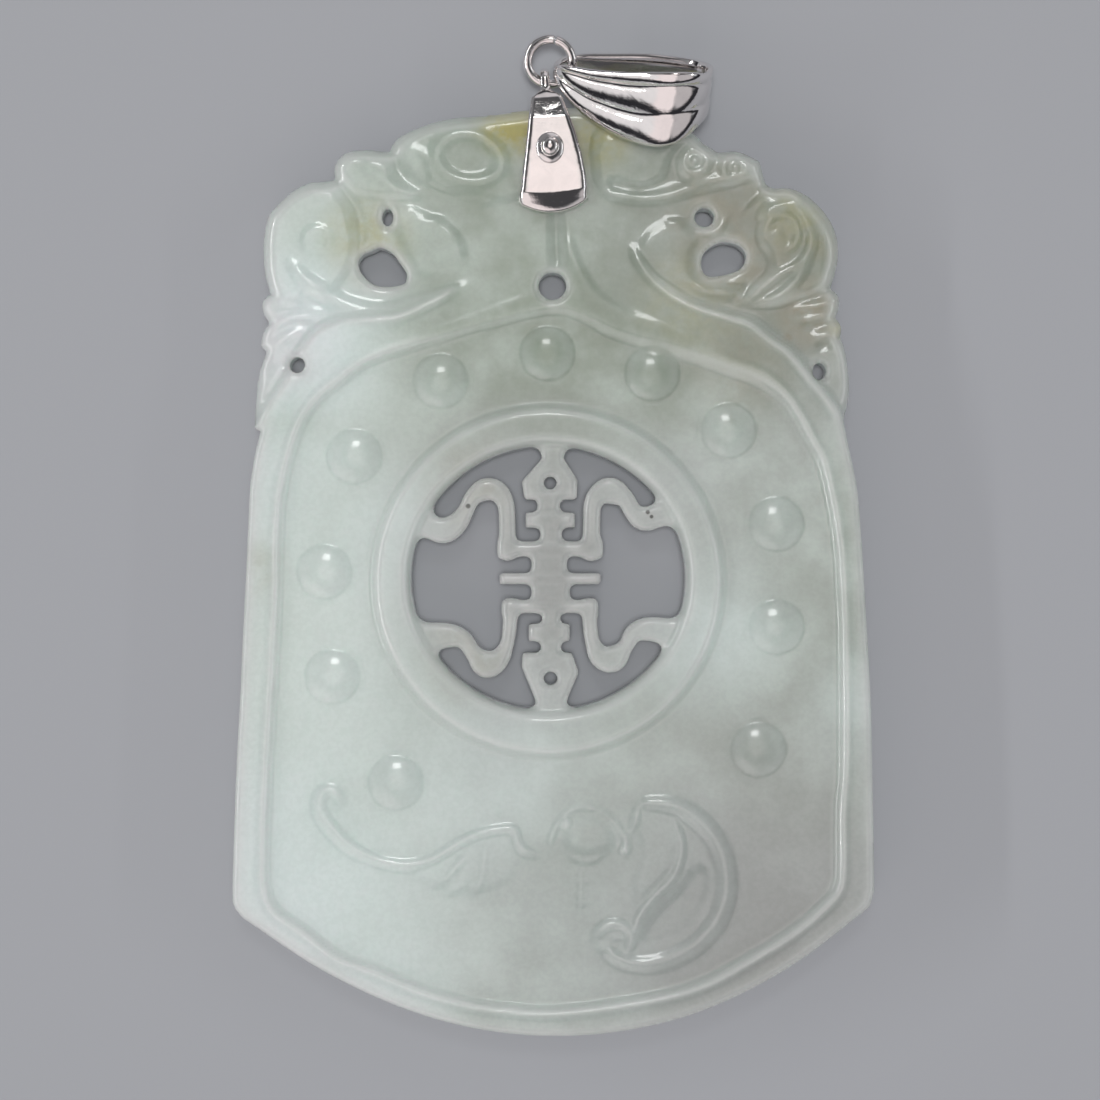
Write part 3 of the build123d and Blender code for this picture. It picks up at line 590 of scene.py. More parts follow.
# How far a ridge and a raised form reach past the lines that the tables give
LINE_REACH = 1.8
PAD_REACH = 1.0

# How far the slopes of the crest's and of the bat's lines spread, as shares of their half widths
CREST_SPREAD = 1.7
BAT_SPREAD = 1.4

# What is left of a ridge's height at its worn ends, and the length over which it comes back
WORN_END = 0.3
WORN_LENGTH = 0.9

# Width of the rim's slope down to the field, how much wider it is at the top right, and the crest's slope
RIM_BEVEL = 0.45
WIDER_BEVEL = 0.55
CREST_BEVEL = 0.55

# Radii of the rounded edges of the fret and of the holes
FRET_ROUND = 0.32
HOLE_ROUND = 0.35

# Painted light on the face, paler edges for light glowing through thin jade and paler steep slopes for
# sheen: its share, an edge's width, and a slope's blur in grid steps
EDGE_LIGHT_SHARE = 0.46
EDGE_LIT = 0.16
SLOPE_SHEEN_BLUR = 1.6

# Rings of the tablet's edge wall: inset and height as shares of back_round, and the share of the way down
WALL = [(0.0, 1.0, 0.33), (0.0, 1.0, 0.67), (0.0, 1.0, 1.0), (0.29, 0.29, 1.0), (1.0, 0.0, 1.0)]

# Widths over which the parts of the fret run into each other, and into the medallion's ring
FRET_BLEND = 0.5
HOUSE_BLEND = 0.45
RING_BLEND = 0.9


def smooth_line(points, step=0.3):
    """Places along a smooth line through the given ones, with any further columns carried along."""
    given = np.array(points, float)
    ends = [2 * given[0] - given[1], *given, 2 * given[-1] - given[-2]]
    out = []
    for a, b, c, d in zip(ends, ends[1:], ends[2:], ends[3:]):
        count = max(2, int(np.hypot(*(c - b)[:2]) / step) + 1)
        t = np.linspace(0, 1, count, endpoint=False)[:, None]
        straight = 2 * b + (c - a) * t
        out.append(0.5 * (straight + (2 * a - 5 * b + 4 * c - d) * t**2 + (3 * b - a - 3 * c + d) * t**3))
    return np.vstack([*out, given[-1:]])


def smooth_loop(points):
    """Places round a smooth closed line through the given ones."""
    given = np.array(points, float)
    line = smooth_line([*given[-2:], *given, *given[:2]])
    first = np.argmin(np.hypot(*(line - given[0]).T[:2]))
    last = len(line) - 1 - np.argmin(np.hypot(*(line[::-1] - given[0]).T[:2]))
    if last <= first:
        last = len(line) - 1
    return line[first:last]


def near_mask(x, y, line, reach):
    """The places that lie within reach of the line's box."""
    low, high = line[:, :2].min(0) - reach, line[:, :2].max(0) + reach
    return (x > low[0]) & (x < high[0]) & (y > low[1]) & (y < high[1])


def inside(x, y, loop):
    """How far each place lies inside the closed line; below nought it lies outside."""
    best = np.full(x.shape, FAR)
    within = np.zeros(x.shape, bool)
    for (ax, ay), (bx, by) in zip(loop, np.roll(loop, -1, axis=0)):
        dx, dy = bx - ax, by - ay
        t = np.clip(((x - ax) * dx + (y - ay) * dy) / max(dx * dx + dy * dy, TINY**2), 0, 1)
        best = np.minimum(best, (x - ax - t * dx) ** 2 + (y - ay - t * dy) ** 2)
        if dy:
            crosses = (ay <= y) != (by <= y)
            within ^= crosses & (x < ax + (y - ay) * dx / dy)
    return np.where(within, np.sqrt(best), -np.sqrt(best))


def along(x, y, line):
    """How far each place lies inside a stroke, and the stroke's half width, the line's third column."""
    best = np.full(x.shape, -FAR)
    width = np.zeros(x.shape)
    for (ax, ay, aw), (bx, by, bw) in zip(line, line[1:]):
        dx, dy = bx - ax, by - ay
        t = np.clip(((x - ax) * dx + (y - ay) * dy) / max(dx * dx + dy * dy, TINY**2), 0, 1)
        here = aw + t * (bw - aw)
        depth = here - np.hypot(x - ax - t * dx, y - ay - t * dy)
        nearer = depth > best
        best = np.where(nearer, depth, best)
        width = np.where(nearer, here, width)
    return best, width


def ease(t):
    """A smooth step from 0 to 1."""
    t = np.clip(t, 0, 1)
    return t * t * (3 - 2 * t)


def soft_max(a, b, blend):
    """The greater of two, rounded over where they are within blend of each other."""
    h = np.clip(blend - np.abs(a - b), 0, None) / blend
    return np.maximum(a, b) + h * h * blend / 4


def soft_min(a, b, blend):
    """The lesser of two, rounded in the same way."""
    return -soft_max(-a, -b, blend)


def rounded(depth, radius):
    """How far a rounded edge of that radius has dropped, at that distance inside the edge."""
    d = np.clip(depth, 0, radius)
    return radius - np.sqrt(radius**2 - (radius - d) ** 2)


def lines_layer(x, y, rows, spread):
    """Heights of the soft ridges in rows, the greatest where they cross.

    Spread widens their feet, and the ends of an open line are worn down.
    """
    layer = np.zeros(x.shape)
    for height, points in rows:
        line = smooth_line(points)
        near = near_mask(x, y, line, LINE_REACH)
        nx, ny = x[near], y[near]
        depth, width = along(nx, ny, line)
        away = (width - depth) / np.maximum(width, TINY)
        to_start, to_end = (np.hypot(nx - end[0], ny - end[1]) for end in (line[0], line[-1]))
        worn = WORN_END + (1 - WORN_END) * ease(np.minimum(to_start, to_end) / WORN_LENGTH)
        if points[0] == points[-1]:
            worn = 1.0
        layer[near] = np.maximum(layer[near], height * worn * ease(1 - away / spread))
    return layer


def pads_layer(x, y, rows):
    """Heights of the broad raised or sunk forms in rows, added together."""
    layer = np.zeros(x.shape)
    for height, edge, points in rows:
        loop = smooth_loop(points)
        near = near_mask(x, y, loop, PAD_REACH)
        layer[near] += height * ease(inside(x[near], y[near], loop) / edge * 0.7 + 0.1)
    return layer


def fret_inside(x, y):
    """How far each place lies inside the medallion's jade: outside its window, or in the fret."""
    px, py = x - MEDALLION[0], y - MEDALLION[1]
    half_x, half_y = FRET_HALF
    mean = (half_x + half_y) / 2
    depth = (np.hypot(px / half_x, py / half_y) - 1) * mean
    near = depth < 1.5
    nx, ny = px[near], py[near]
    jade = np.full(nx.shape, -FAR)
    for left, right, low, high in FRET_BARS:
        out_x = np.abs(nx - (left + right) / 2 * half_x) - (right - left) / 2 * half_x
        out_y = np.abs(ny - (low + high) / 2 * half_y) - (high - low) / 2 * half_y
        gap = np.hypot(np.clip(out_x, 0, None), np.clip(out_y, 0, None))
        jade = soft_max(jade, -(gap + np.minimum(np.maximum(out_x, out_y), 0)), FRET_BLEND)
    for house in FRET_HOUSES:
        jade = soft_max(jade, inside(nx, ny, np.array(house) * FRET_HALF), HOUSE_BLEND)
    for arm in FRET_ARMS:
        line = smooth_line([(a * half_x, u * half_y, w * half_x / 2) for a, u, w in arm])
        jade = soft_max(jade, along(nx, ny, line)[0], FRET_BLEND)
    depth[near] = soft_max(depth[near], jade, RING_BLEND)
    for across, up, radius in FRET_EYES:
        depth = np.minimum(depth, np.hypot(px - across * half_x, py - up * half_y) - radius)
    return depth


def holes_inside(x, y):
    """How far each place lies from the drilled holes and the crest's openings."""
    depth = np.full(x.shape, FAR)
    for across, up, half_x, half_y in DRILLED:
        share = np.hypot((x - across) / half_x, (y - up) / half_y)
        depth = np.minimum(depth, (share - 1) * min(half_x, half_y))
    for points in CREST_HOLES:
        depth = np.minimum(depth, -inside(x, y, smooth_loop(points)))
    return depth


def softened(layer, spread):
    """The layer blurred, so that its edges spread over so many grid steps."""
    reach = int(3 * spread) + 1
    weights = np.exp(-0.5 * (np.arange(-reach, reach + 1) / spread) ** 2)
    weights /= weights.sum()
    for axis in (0, 1):
        layer = np.apply_along_axis(np.convolve, axis, layer, weights, mode="same")
    return layer


def grid_step(look):
    return look.grid / MM * 1


def framed_height(x, y, thickness, field_z, in_crest, look):
    """The height of the plain rim, the field and the crest's ground."""
    in_field = inside(x, y, smooth_loop(FIELD))
    right_top = ease((x - 1) / 3) * ease((y - 42) / 2)
    bevel = RIM_BEVEL + WIDER_BEVEL * right_top
    middle = ease((x + 12) / 7) * ease((12 - x) / 7) * ease((y - 44) / 2)
    fall = 0.3 + 0.35 * ease((y - 46.5) / 9.5)
    step = look.crest_depth / MM * ease(in_crest / CREST_BEVEL + 0.25)
    frame_height = thickness - field_z - step - (fall - step) * middle
    z = field_z + frame_height * ease(1 - (in_field + 0.1) / bevel)
    return z - 0.12 * (1 - middle) * np.exp(-(((in_field + 0.9) / 0.8) ** 2)) * (in_crest < 0)


def relief_height(x, y, in_crest, look):
    """The height of the crest's leaves and curls and of the bat, over the ground that they rise from."""
    worn = look.softness / MM / grid_step(look)
    crest = pads_layer(x, y, PADS) * ease(in_crest / 0.4)
    crest = crest + lines_layer(x, y, RIDGES, CREST_SPREAD) - lines_layer(x, y, GROOVES, CREST_SPREAD)
    bat = lines_layer(x, y, BAT_LINES, BAT_SPREAD) + pads_layer(x, y, BAT_PADS)
    z = look.relief * softened(crest, worn) + look.bat_relief * softened(bat, worn * 0.7)
    for height, across, up, radius in KNOBS:
        z += height * np.sqrt(np.clip(1 - ((x - across) ** 2 + (y - up) ** 2) / radius**2, 0, None))

    radius, height = look.boss_radius / MM, look.boss_height / MM
    for across, up in BOSSES:
        away = np.hypot(x - across, y - up)
        z += height * np.clip(1 - (away / radius) ** 2, 0, None)
        z -= 0.05 * np.exp(-(((away - radius - 0.06) / 0.11) ** 2))
    return z


def carved_height(x, y, edge, fret, holes, look):
    """The height of the carved face above the tablet's back, in millimetres."""
    thickness = (jade_high.z - jade_low.z) / MM
    field_z = thickness - look.field_depth / MM
    beyond = [(40, 42), (40, 80), (-40, 80), (-40, 42)]
    in_crest = inside(x, y, np.vstack([smooth_line(CREST_LINE), beyond]))
    z = framed_height(x, y, thickness, field_z, in_crest, look) + relief_height(x, y, in_crest, look)

    away = np.hypot(x - MEDALLION[0], y - MEDALLION[1] + 0.2)
    ring = look.medallion_radius / MM
    band = ease((ring - away) / 0.55)
    crown = 0.06 * np.clip(1 - ((away - ring + 1.3) / 1.3) ** 2, 0, None)
    z = np.where(away < ring, np.maximum(z, field_z + (thickness - field_z) * band + crown * band), z)
    z -= 0.06 * np.exp(-(((away - ring - 0.08) / 0.14) ** 2))
    half_x, half_y = FRET_HALF
    window = (np.hypot((x - MEDALLION[0]) / half_x, (y - MEDALLION[1]) / half_y) - 1) * half_x
    z -= look.fret_depth / MM * ease(1 - window / 0.5)

    up_share = ease((y - 39) / 4)
    edge_round = (look.edge_round + (look.crest_round - look.edge_round) * up_share) / MM
    z -= rounded(edge, edge_round)
    z -= rounded(fret, FRET_ROUND)
    z -= rounded(holes, HOLE_ROUND)
    return z


def marched(depth, z, xs, ys):
    """The front skin where depth is above nought, and the segments of its edge, on a square grid."""
    within = depth > 0
    ny, nx = depth.shape
    slope_y, slope_x = np.gradient(depth, ys, xs)
    index = np.full(depth.shape, -1)
    index[within] = np.arange(within.sum())
    rows, columns = np.nonzero(within)
    points = [np.column_stack([xs[columns], ys[rows], z[within]])]
    inward = [np.zeros((len(rows), 2))]
    count = len(rows)
    crossing = []
    for dj, di in ((0, 1), (1, 0)):
        a = (slice(0, ny - dj), slice(0, nx - di))
        b = (slice(dj, ny), slice(di, nx))
        cut = within[a] != within[b]
        j, i = np.nonzero(cut)
        d0, d1 = depth[a][cut], depth[b][cut]
        t = np.clip(d0 / (d0 - d1), 0.02, 0.98)
        low_z = np.where(within[a][cut], z[b][cut], z[a][cut])
        at_x = xs[i] + t * (xs[i + di] - xs[i])
        at_y = ys[j] + t * (ys[j + dj] - ys[j])
        points.append(np.column_stack([at_x, at_y, low_z]))
        lean = np.column_stack([
            slope_x[a][cut] * (1 - t) + slope_x[b][cut] * t,
            slope_y[a][cut] * (1 - t) + slope_y[b][cut] * t,
        ])
        inward.append(lean / np.maximum(np.hypot(*lean.T), TINY)[:, None])
        lookup = np.full(cut.shape, -1)
        lookup[cut] = count + np.arange(cut.sum())
        count += int(cut.sum())
        crossing.append(lookup)
    level, upright = crossing
    corners = within[:-1, :-1].astype(int) + within[:-1, 1:] + within[1:, 1:] + within[1:, :-1]
    j, i = np.nonzero(corners == 4)
    faces = np.column_stack([index[j, i], index[j, i + 1], index[j + 1, i + 1], index[j + 1, i]]).tolist()
    segments = []
    for j, i in zip(*np.nonzero((corners > 0) & (corners < 4))):
        round_cell = [
            (within[j, i], index[j, i], level[j, i]),
            (within[j, i + 1], index[j, i + 1], upright[j, i + 1]),
            (within[j + 1, i + 1], index[j + 1, i + 1], level[j + 1, i]),
            (within[j + 1, i], index[j + 1, i], upright[j, i]),
        ]
        face = []
        for (here, corner, cross), (ahead, _, _) in zip(round_cell, round_cell[1:] + round_cell[:1]):
            if here:
                face.append(int(corner))
            if here != ahead:
                face.append(int(cross))
        faces.append(face)
        crossings = [v for v in face if v >= len(rows)]
        for a, b in zip(face, face[1:] + face[:1]):
            if a >= len(rows) and b >= len(rows) and (len(crossings) == 2 or (a, b) in leaving(round_cell)):
                segments.append((a, b))
    return np.vstack(points), np.vstack(inward), faces, segments, len(rows)


def leaving(round_cell):
    """The pairs of crossings between which a cell's edge runs outside the jade."""
    pairs = []
    for k in range(4):
        if not round_cell[k][0]:
            pairs.append((int(round_cell[k - 1][2]), int(round_cell[k][2])))
    return pairs


def depth_at(places, depth, xs, ys, step):
    """The depths on the grid, read off between its points at those places."""
    column = np.clip((places[:, 0] - xs[0]) / step, 0, len(xs) - 1.001)
    line = np.clip((places[:, 1] - ys[0]) / step, 0, len(ys) - 1.001)
    i, j = column.astype(int), line.astype(int)
    across, up = column - i, line - j
    low = depth[j, i] * (1 - across) + depth[j, i + 1] * across
    high = depth[j + 1, i] * (1 - across) + depth[j + 1, i + 1] * across
    return low * (1 - up) + high * up


def jade_mesh(look):
    """The carved tablet: its face from heights on a grid, its edge walls, and its flat back."""
    step = grid_step(look)
    xs = np.arange(-22, 22.01, step)
    ys = np.arange(-0.6, 62.9, step)
    x, y = np.meshgrid(xs, ys)
    edge = inside(x, y, np.vstack([smooth_line(run)[:-1] for run in OUTLINE]))
    fret = fret_inside(x, y)
    holes = holes_inside(x, y)
    depth = np.minimum(soft_min(edge, fret, 0.1), holes)
    z = carved_height(x, y, edge, fret, holes, look)
    points, inward, faces, segments, first = marched(depth, z, xs, ys)

    rim, lean = points[first:], inward[first:]
    back_round = look.back_round / MM
    stack = [points]
    base = len(points)
    above = {a: a for a in range(first, base)}
    for inset, up, down in WALL:
        height = rim[:, 2] + (up * back_round - rim[:, 2]) * down
        stack.append(np.column_stack([rim[:, :2] + lean * inset * back_round, height]))
        below = {a: base + a - first for a in range(first, len(points))}
        faces += [(above[b], above[a], below[a], below[b]) for a, b in segments]
        above = below
        base += len(rim)
    front_count = len(faces)

    foot = [Vector(place[:2]) for place in stack[-1]]
    edges = [(a - first, b - first) for a, b in segments]
    places, _, triangles, origins, *_ = delaunay_2d_cdt(foot, edges, [], 1, 1e-5, True)
    numbers, extra = [], []
    for place, origin in zip(places, origins):
        if origin:
            numbers.append(base - len(rim) + origin[0])
        else:
            numbers.append(base + len(extra))
            extra.append((*place, 0.0))
    middles = np.array([np.mean([places[v][:] for v in triangle], axis=0) for triangle in triangles])
    for triangle, here in zip(triangles, depth_at(middles, depth, xs, ys, step)):
        if here > back_round * 0.9:
            faces.append([numbers[v] for v in reversed(triangle)])
    if extra:
        stack.append(np.array(extra))

    corners = np.vstack(stack) * MM + np.array([0, jade_low.y, jade_low.z])
    mesh = bpy.data.meshes.new("carved_jade")
    mesh.from_pydata(corners.tolist(), [], faces)
    smooth = np.arange(len(mesh.polygons)) < front_count
    mesh.polygons.foreach_set("use_smooth", smooth)
    # Painted edge light: the walls and back get the full pale edge colour, and the face gets a share of it
    # at its edges and steep slopes
    painted_edge_light = np.ones(len(corners))
    slope_sheen = softened(np.minimum(np.hypot(*np.gradient(z, ys, xs)), 1), SLOPE_SHEEN_BLUR)[depth > 0]
    edge_light = np.exp(-((depth[depth > 0] / EDGE_LIT) ** 2))
    painted_edge_light[:first] = EDGE_LIGHT_SHARE * np.maximum(edge_light, ease((slope_sheen - 0.08) / 0.42))
    mesh.attributes.new("painted_edge_light", "FLOAT", "POINT").data.foreach_set("value", painted_edge_light)
    mesh.update()
    return mesh


def tube_mesh(name, rings, around=False):
    """A closed mesh through rings of places; its ends meet where around, and otherwise they are capped."""
    count = len(rings[0])
    mesh = bpy.data.meshes.new(name)
    body = bmesh.new()
    rows = [[body.verts.new(Vector(p) * MM) for p in ring] for ring in rings]
    for here, ahead in zip(rows, [*rows[1:], rows[0]] if around else rows[1:]):
        for i in range(count):
            j = (i + 1) % count
            body.faces.new((here[i], here[j], ahead[j], ahead[i]))
    if not around:
        body.faces.new(rows[0])
        body.faces.new(rows[-1])
    bmesh.ops.recalc_face_normals(body, faces=body.faces)
    for face in body.faces:
        face.smooth = len(face.verts) == 4
    body.to_mesh(mesh)
    body.free()
    return mesh


def turned(*turns):
    """A matrix that turns by each (degrees, axis), the last one first."""
    out = Matrix.Identity(3)
    for degrees, axis in turns:
        out = out @ Matrix.Rotation(math.radians(degrees), 3, axis)
    return out


def ring_mesh(look):
    """A jump ring of round wire, cut where its ends meet."""
    low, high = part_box("jump_ring")
    middle = (low + high) / 2 / MM
    turn = turned((-look.ring_swing, "Z"), (look.ring_tilt, "X"))
    radius, wire = look.ring_radius / MM, look.ring_wire / MM
    half_cut = 0.03 / radius
    rings = []
    for angle in np.linspace(math.pi / 2 + half_cut, math.pi / 2 - half_cut + 2 * math.pi, 97):
        ring = []
        for round_wire in np.linspace(0, 2 * math.pi, 24, endpoint=False):
            out = radius + wire * math.cos(round_wire)
            place = Vector((out * math.cos(angle), out * math.sin(angle), wire * math.sin(round_wire)))
            ring.append(middle + turn @ place)
        rings.append(ring)
    return tube_mesh("ring_wire", rings)


# The rivet: radii of its shank, head and raised end, and how high it stands above the clip
RIVET_SHANK = 0.45
RIVET_HEAD = 0.93
RIVET_END = 0.55
RIVET_HEIGHT = 0.62


def rivet_mesh(look):
    """A rivet with a low round head and a domed end raised on it."""
    low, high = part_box("clip_pin")
    middle = (low + high) / 2 / MM
    foot, top = low.z / MM, high.z / MM
    head = top - RIVET_HEIGHT
    profile = [
        (0.02, foot), (RIVET_SHANK - 0.05, foot), (RIVET_SHANK, foot + 0.04), (RIVET_SHANK, head),
        (RIVET_HEAD - 0.05, head), (RIVET_HEAD - 0.005, head + 0.03), (RIVET_HEAD, head + 0.09),
    ]
    rise = 0.5 * (RIVET_HEIGHT - 0.12)
    for turn in range(6, 49, 6):
        angle = math.radians(turn)
        profile.append((RIVET_HEAD * math.cos(angle), head + 0.12 + rise * math.sin(angle)))
    start = profile[-1][1]
    for share in (0.15, 0.4, 0.7):
        profile.append((RIVET_END + 0.02 - 0.02 * share, start + 0.1 * share))
    for turn in range(20, 90, 10):
        angle = math.radians(turn)
        profile.append((RIVET_END * math.cos(angle), start + 0.06 + (top - start - 0.06) * math.sin(angle)))
    profile.append((0.01, top))
    angles = [2 * math.pi * k / 48 for k in range(48)]
    rings = []
    for radius, up in profile:
        shift = look.rivet_lean / MM * max(0, up - head) / (top - head)
        long = 1.1 * radius if up > head - 0.01 else radius
        rings.append([
            (middle.x + radius * math.cos(a), middle.y + shift + long * math.sin(a), up) for a in angles
        ])
    return tube_mesh("rivet_head", rings)


def bent_line(corners):
    """Places along a line whose corners (across, up, radius) are rounded."""
    out = [corners[0][:2]]
    for (ax, ay, _), (bx, by, radius), (cx, cy, _) in zip(corners, corners[1:], corners[2:]):
        before = Vector((ax - bx, ay - by)).normalized()
        after = Vector((cx - bx, cy - by)).normalized()
        half = before.angle(after) / 2
        reach = radius / math.tan(half)
        middle = Vector((bx, by)) + (before + after).normalized() * radius / math.sin(half)
        start = Vector((bx, by)) + before * reach - middle
        end = Vector((bx, by)) + after * reach - middle
        sweep = start.angle_signed(end)
        steps = max(3, int(abs(sweep) / 0.16))
        for k in range(steps + 1):
            out.append(tuple(middle + Matrix.Rotation(-sweep * k / steps, 2) @ start))
    out.append(corners[-1][:2])
    dense = []
    for a, b in zip(out, out[1:]):
        count = max(1, int(math.dist(a, b) / 0.25))
        for k in range(count):
            dense.append((a[0] + (b[0] - a[0]) * k / count, a[1] + (b[1] - a[1]) * k / count))
    return dense + [out[-1]]


# The clip's strip from its back foot round the eye to its front foot: along the clip, height, bend radius
CLIP_BENDS = [
    (-4.25, 0.2, 0), (3.277, 0.2, 0.6), (3.89, 3.03, 0.6), (5.355, 3.03, 0.62), (5.355, 4.31, 0.62),
    (3.95, 4.31, 0.3), (3.4, 4.6, 0.3), (2.1, 4.81, 0.5), (-0.3, 4.86, 55),
    (-2.85, 4.81, 0.8), (-4.25, 4.5, 0),
]

# The clip's sides: along the clip, left, right
CLIP_SIDES = [
    (-4.25, -2.3, 2.29), (-3.51, -2.3, 2.3), (-2.0, -2.03, 2.28), (-0.5, -1.76, 2.1), (1.0, -1.48, 1.8),
    (2.4, -1.22, 1.38), (3.6, -1.0, 1.0), (3.72, -0.8, 0.8), (3.85, -0.42, 0.42), (4.05, -0.33, 0.33),
    (5.8, -0.27, 0.27),
]

# How far the clip's feet bow, half the strip's thickness, and where its plates narrow into the eye
CLIP_FOOT_BOW = 0.74
CLIP_HALF = 0.2
EYE_START = 3.8

# Radius of the rivet's hole in the clip
RIVET_HOLE = 0.5


def clip_mesh(look):
    """One strip of metal, folded over the tablet's top with an eye for the ring."""
    low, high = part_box("clip_pin")
    middle = (low + high) / 2 / MM
    turn = turned((look.clip_lean, "Z"))
    places = bent_line(CLIP_BENDS)
    sides = np.array(CLIP_SIDES)
    rings = []
    lengths = np.concatenate([[0], np.cumsum([math.dist(a, b) for a, b in zip(places, places[1:])])])
    for k, (up, height) in enumerate(places):
        before, after = places[max(k - 1, 0)], places[min(k + 1, len(places) - 1)]
        way = Vector((after[0] - before[0], after[1] - before[1])).normalized()
        out = Vector((-way.y, way.x))
        in_eye = float(ease((up - EYE_START) / 0.3))
        from_end = min(lengths[k], lengths[-1] - lengths[k])
        thick = CLIP_HALF * (1 - 0.35 * max(0, 1 - from_end / 0.12) ** 2) * (1 - 0.25 * in_eye)
        left = np.interp(up, sides[:, 0], sides[:, 1])
        right = np.interp(up, sides[:, 0], sides[:, 2])
        ring = []
        for side in (1, -1):
            for share in np.linspace(-1, 1, 15):
                edge = 1 - abs(share) ** 50 * 0.4
                edge += (math.sqrt(1 - 0.97 * share**2) - edge) * in_eye
                across = left + (right - left) * (share * side + 1) / 2
                bow = CLIP_FOOT_BOW * share**2 * float(ease((-up - 2.4) / 1.85))
                lift = out * side * thick * edge
                place = Vector((across, up + bow + lift.x, height + lift.y))
                ring.append(turn @ place + Vector((middle.x, middle.y, 0)))
        rings.append(ring)
    return tube_mesh("folded_clip", rings)


# The bail's band: share of its length, then width and offset of its middle, as shares of bail_width
FRONT_BAND = [
    (0.0, 0.14, 0.0), (0.05, 0.24, 0.015), (0.09, 0.34, 0.0), (0.19, 0.53, -0.05), (0.31, 0.70, -0.09),
    (0.52, 0.90, -0.08), (0.71, 1.02, -0.02), (0.86, 1.0, 0.04), (0.95, 0.86, 0.085), (1.0, 0.66, 0.11),
]
BACK_BAND = [
    (0.0, 0.14, 0.0), (0.05, 0.20, 0.0), (0.09, 0.26, -0.01), (0.19, 0.38, -0.03), (0.31, 0.48, -0.04),
    (0.52, 0.58, -0.02), (0.71, 0.58, 0.0), (0.86, 0.58, 0.04), (0.95, 0.6, 0.085), (1.0, 0.66, 0.11),
]

# The grooves between the bail's ribs: across and depth, as shares of the width there
BAIL_GROOVES = [(-0.5, 0.05), (-0.10, 0.05), (0.31, 0.045), (0.5, 0.03)]

# Radius of the bend at the bail's tip
BAIL_TIP_BEND = 1.5


def band_edge(width, wall):
    """The band's section for that width: across and height over the hoop's outside, ribs first."""
    places = []
    for (low, low_depth), (high, high_depth) in zip(BAIL_GROOVES, BAIL_GROOVES[1:]):
        for t in np.linspace(0, 1, 9)[:-1]:
            depth = low_depth * (1 - t) ** 2 + high_depth * t**2
            places.append(((low + (high - low) * t) * width, -depth * width))
    edge = min(0.09, width * 0.1)
    right, left = BAIL_GROOVES[-1][1] * width, BAIL_GROOVES[0][1] * width
    half = 0.5 * width
    places += [(half - edge * 0.3, -right), (half, -right - edge)]
    places += [(half, -wall + edge), (half - edge, -wall)]
    places += [(a * width, -wall) for a in (0.25, 0.0, -0.25)]
    places += [(-half + edge, -wall), (-half, -wall + edge), (-half, -left - edge)]
    places[0] = (-half + edge * 0.3, -left)
    return places


def bail_mesh(look):
    """The ribbed bail: a tapered band round a hoop that is narrow at its tip."""
    low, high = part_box("jump_ring")
    tip = (low + high) / 2 / MM + Vector(look.bail_tip) / MM
    turn = turned((-look.bail_lean, "Z"), (look.bail_roll, "X"), (-look.bail_rise, "Y"))
    length, full = look.bail_length / MM, look.bail_width / MM
    wide, small = look.bail_depth / MM / 2, BAIL_TIP_BEND
    flank = math.pi / 2 + math.asin((wide - small) / (length - small - wide))
    tip_arc = [(small + small * math.cos(a), small * math.sin(a)) for a in np.linspace(math.pi, flank, 12)]
    wide_arc = [(length - wide + wide * math.cos(a), wide * math.sin(a)) for a in np.linspace(flank, 0, 25)]
    half_hoop = tip_arc + wide_arc
    hoop = np.array(half_hoop + [(here, -out) for here, out in half_hoop[-2:0:-1]] + half_hoop[:1])
    lengths = np.concatenate([[0], np.cumsum(np.hypot(*np.diff(hoop, axis=0).T))])
    count = 168
    at = np.linspace(0, lengths[-1], count, endpoint=False)
    hoop = np.column_stack([np.interp(at, lengths, hoop[:, k]) for k in (0, 1)])
    reach = np.arange(-30, 31)
    weights = np.exp(-0.5 * (reach * lengths[-1] / count / look.bail_soft * MM) ** 2)
    hoop = sum(w * np.roll(hoop, k, axis=0) for w, k in zip(weights / weights.sum(), reach))
    hoop[:, 0] = (hoop[:, 0] - hoop[:, 0].min()) * length / np.ptp(hoop[:, 0])
    hoop[:, 1] *= 2 * wide / np.ptp(hoop[:, 1])
    way = np.roll(hoop, -1, axis=0) - np.roll(hoop, 1, axis=0)
    outward = np.column_stack([-way[:, 1], way[:, 0]]) / np.hypot(*way.T)[:, None]
    bands = {True: smooth_line(FRONT_BAND, 0.01), False: smooth_line(BACK_BAND, 0.01)}
    rings = []
    for (here, out), (lean_x, lean_z) in zip(hoop, outward):
        band = bands[out > 0]
        width = full * np.interp(here / length, band[:, 0], band[:, 1])
        middle = full * np.interp(here / length, band[:, 0], band[:, 2])
        ring = []
        for across, rise in band_edge(width, look.bail_wall / MM):
            ring.append(tip + turn @ Vector((here + rise * lean_x, middle + across, out + rise * lean_z)))
        rings.append(ring)
    return tube_mesh("ribbed_bail", rings, around=True)


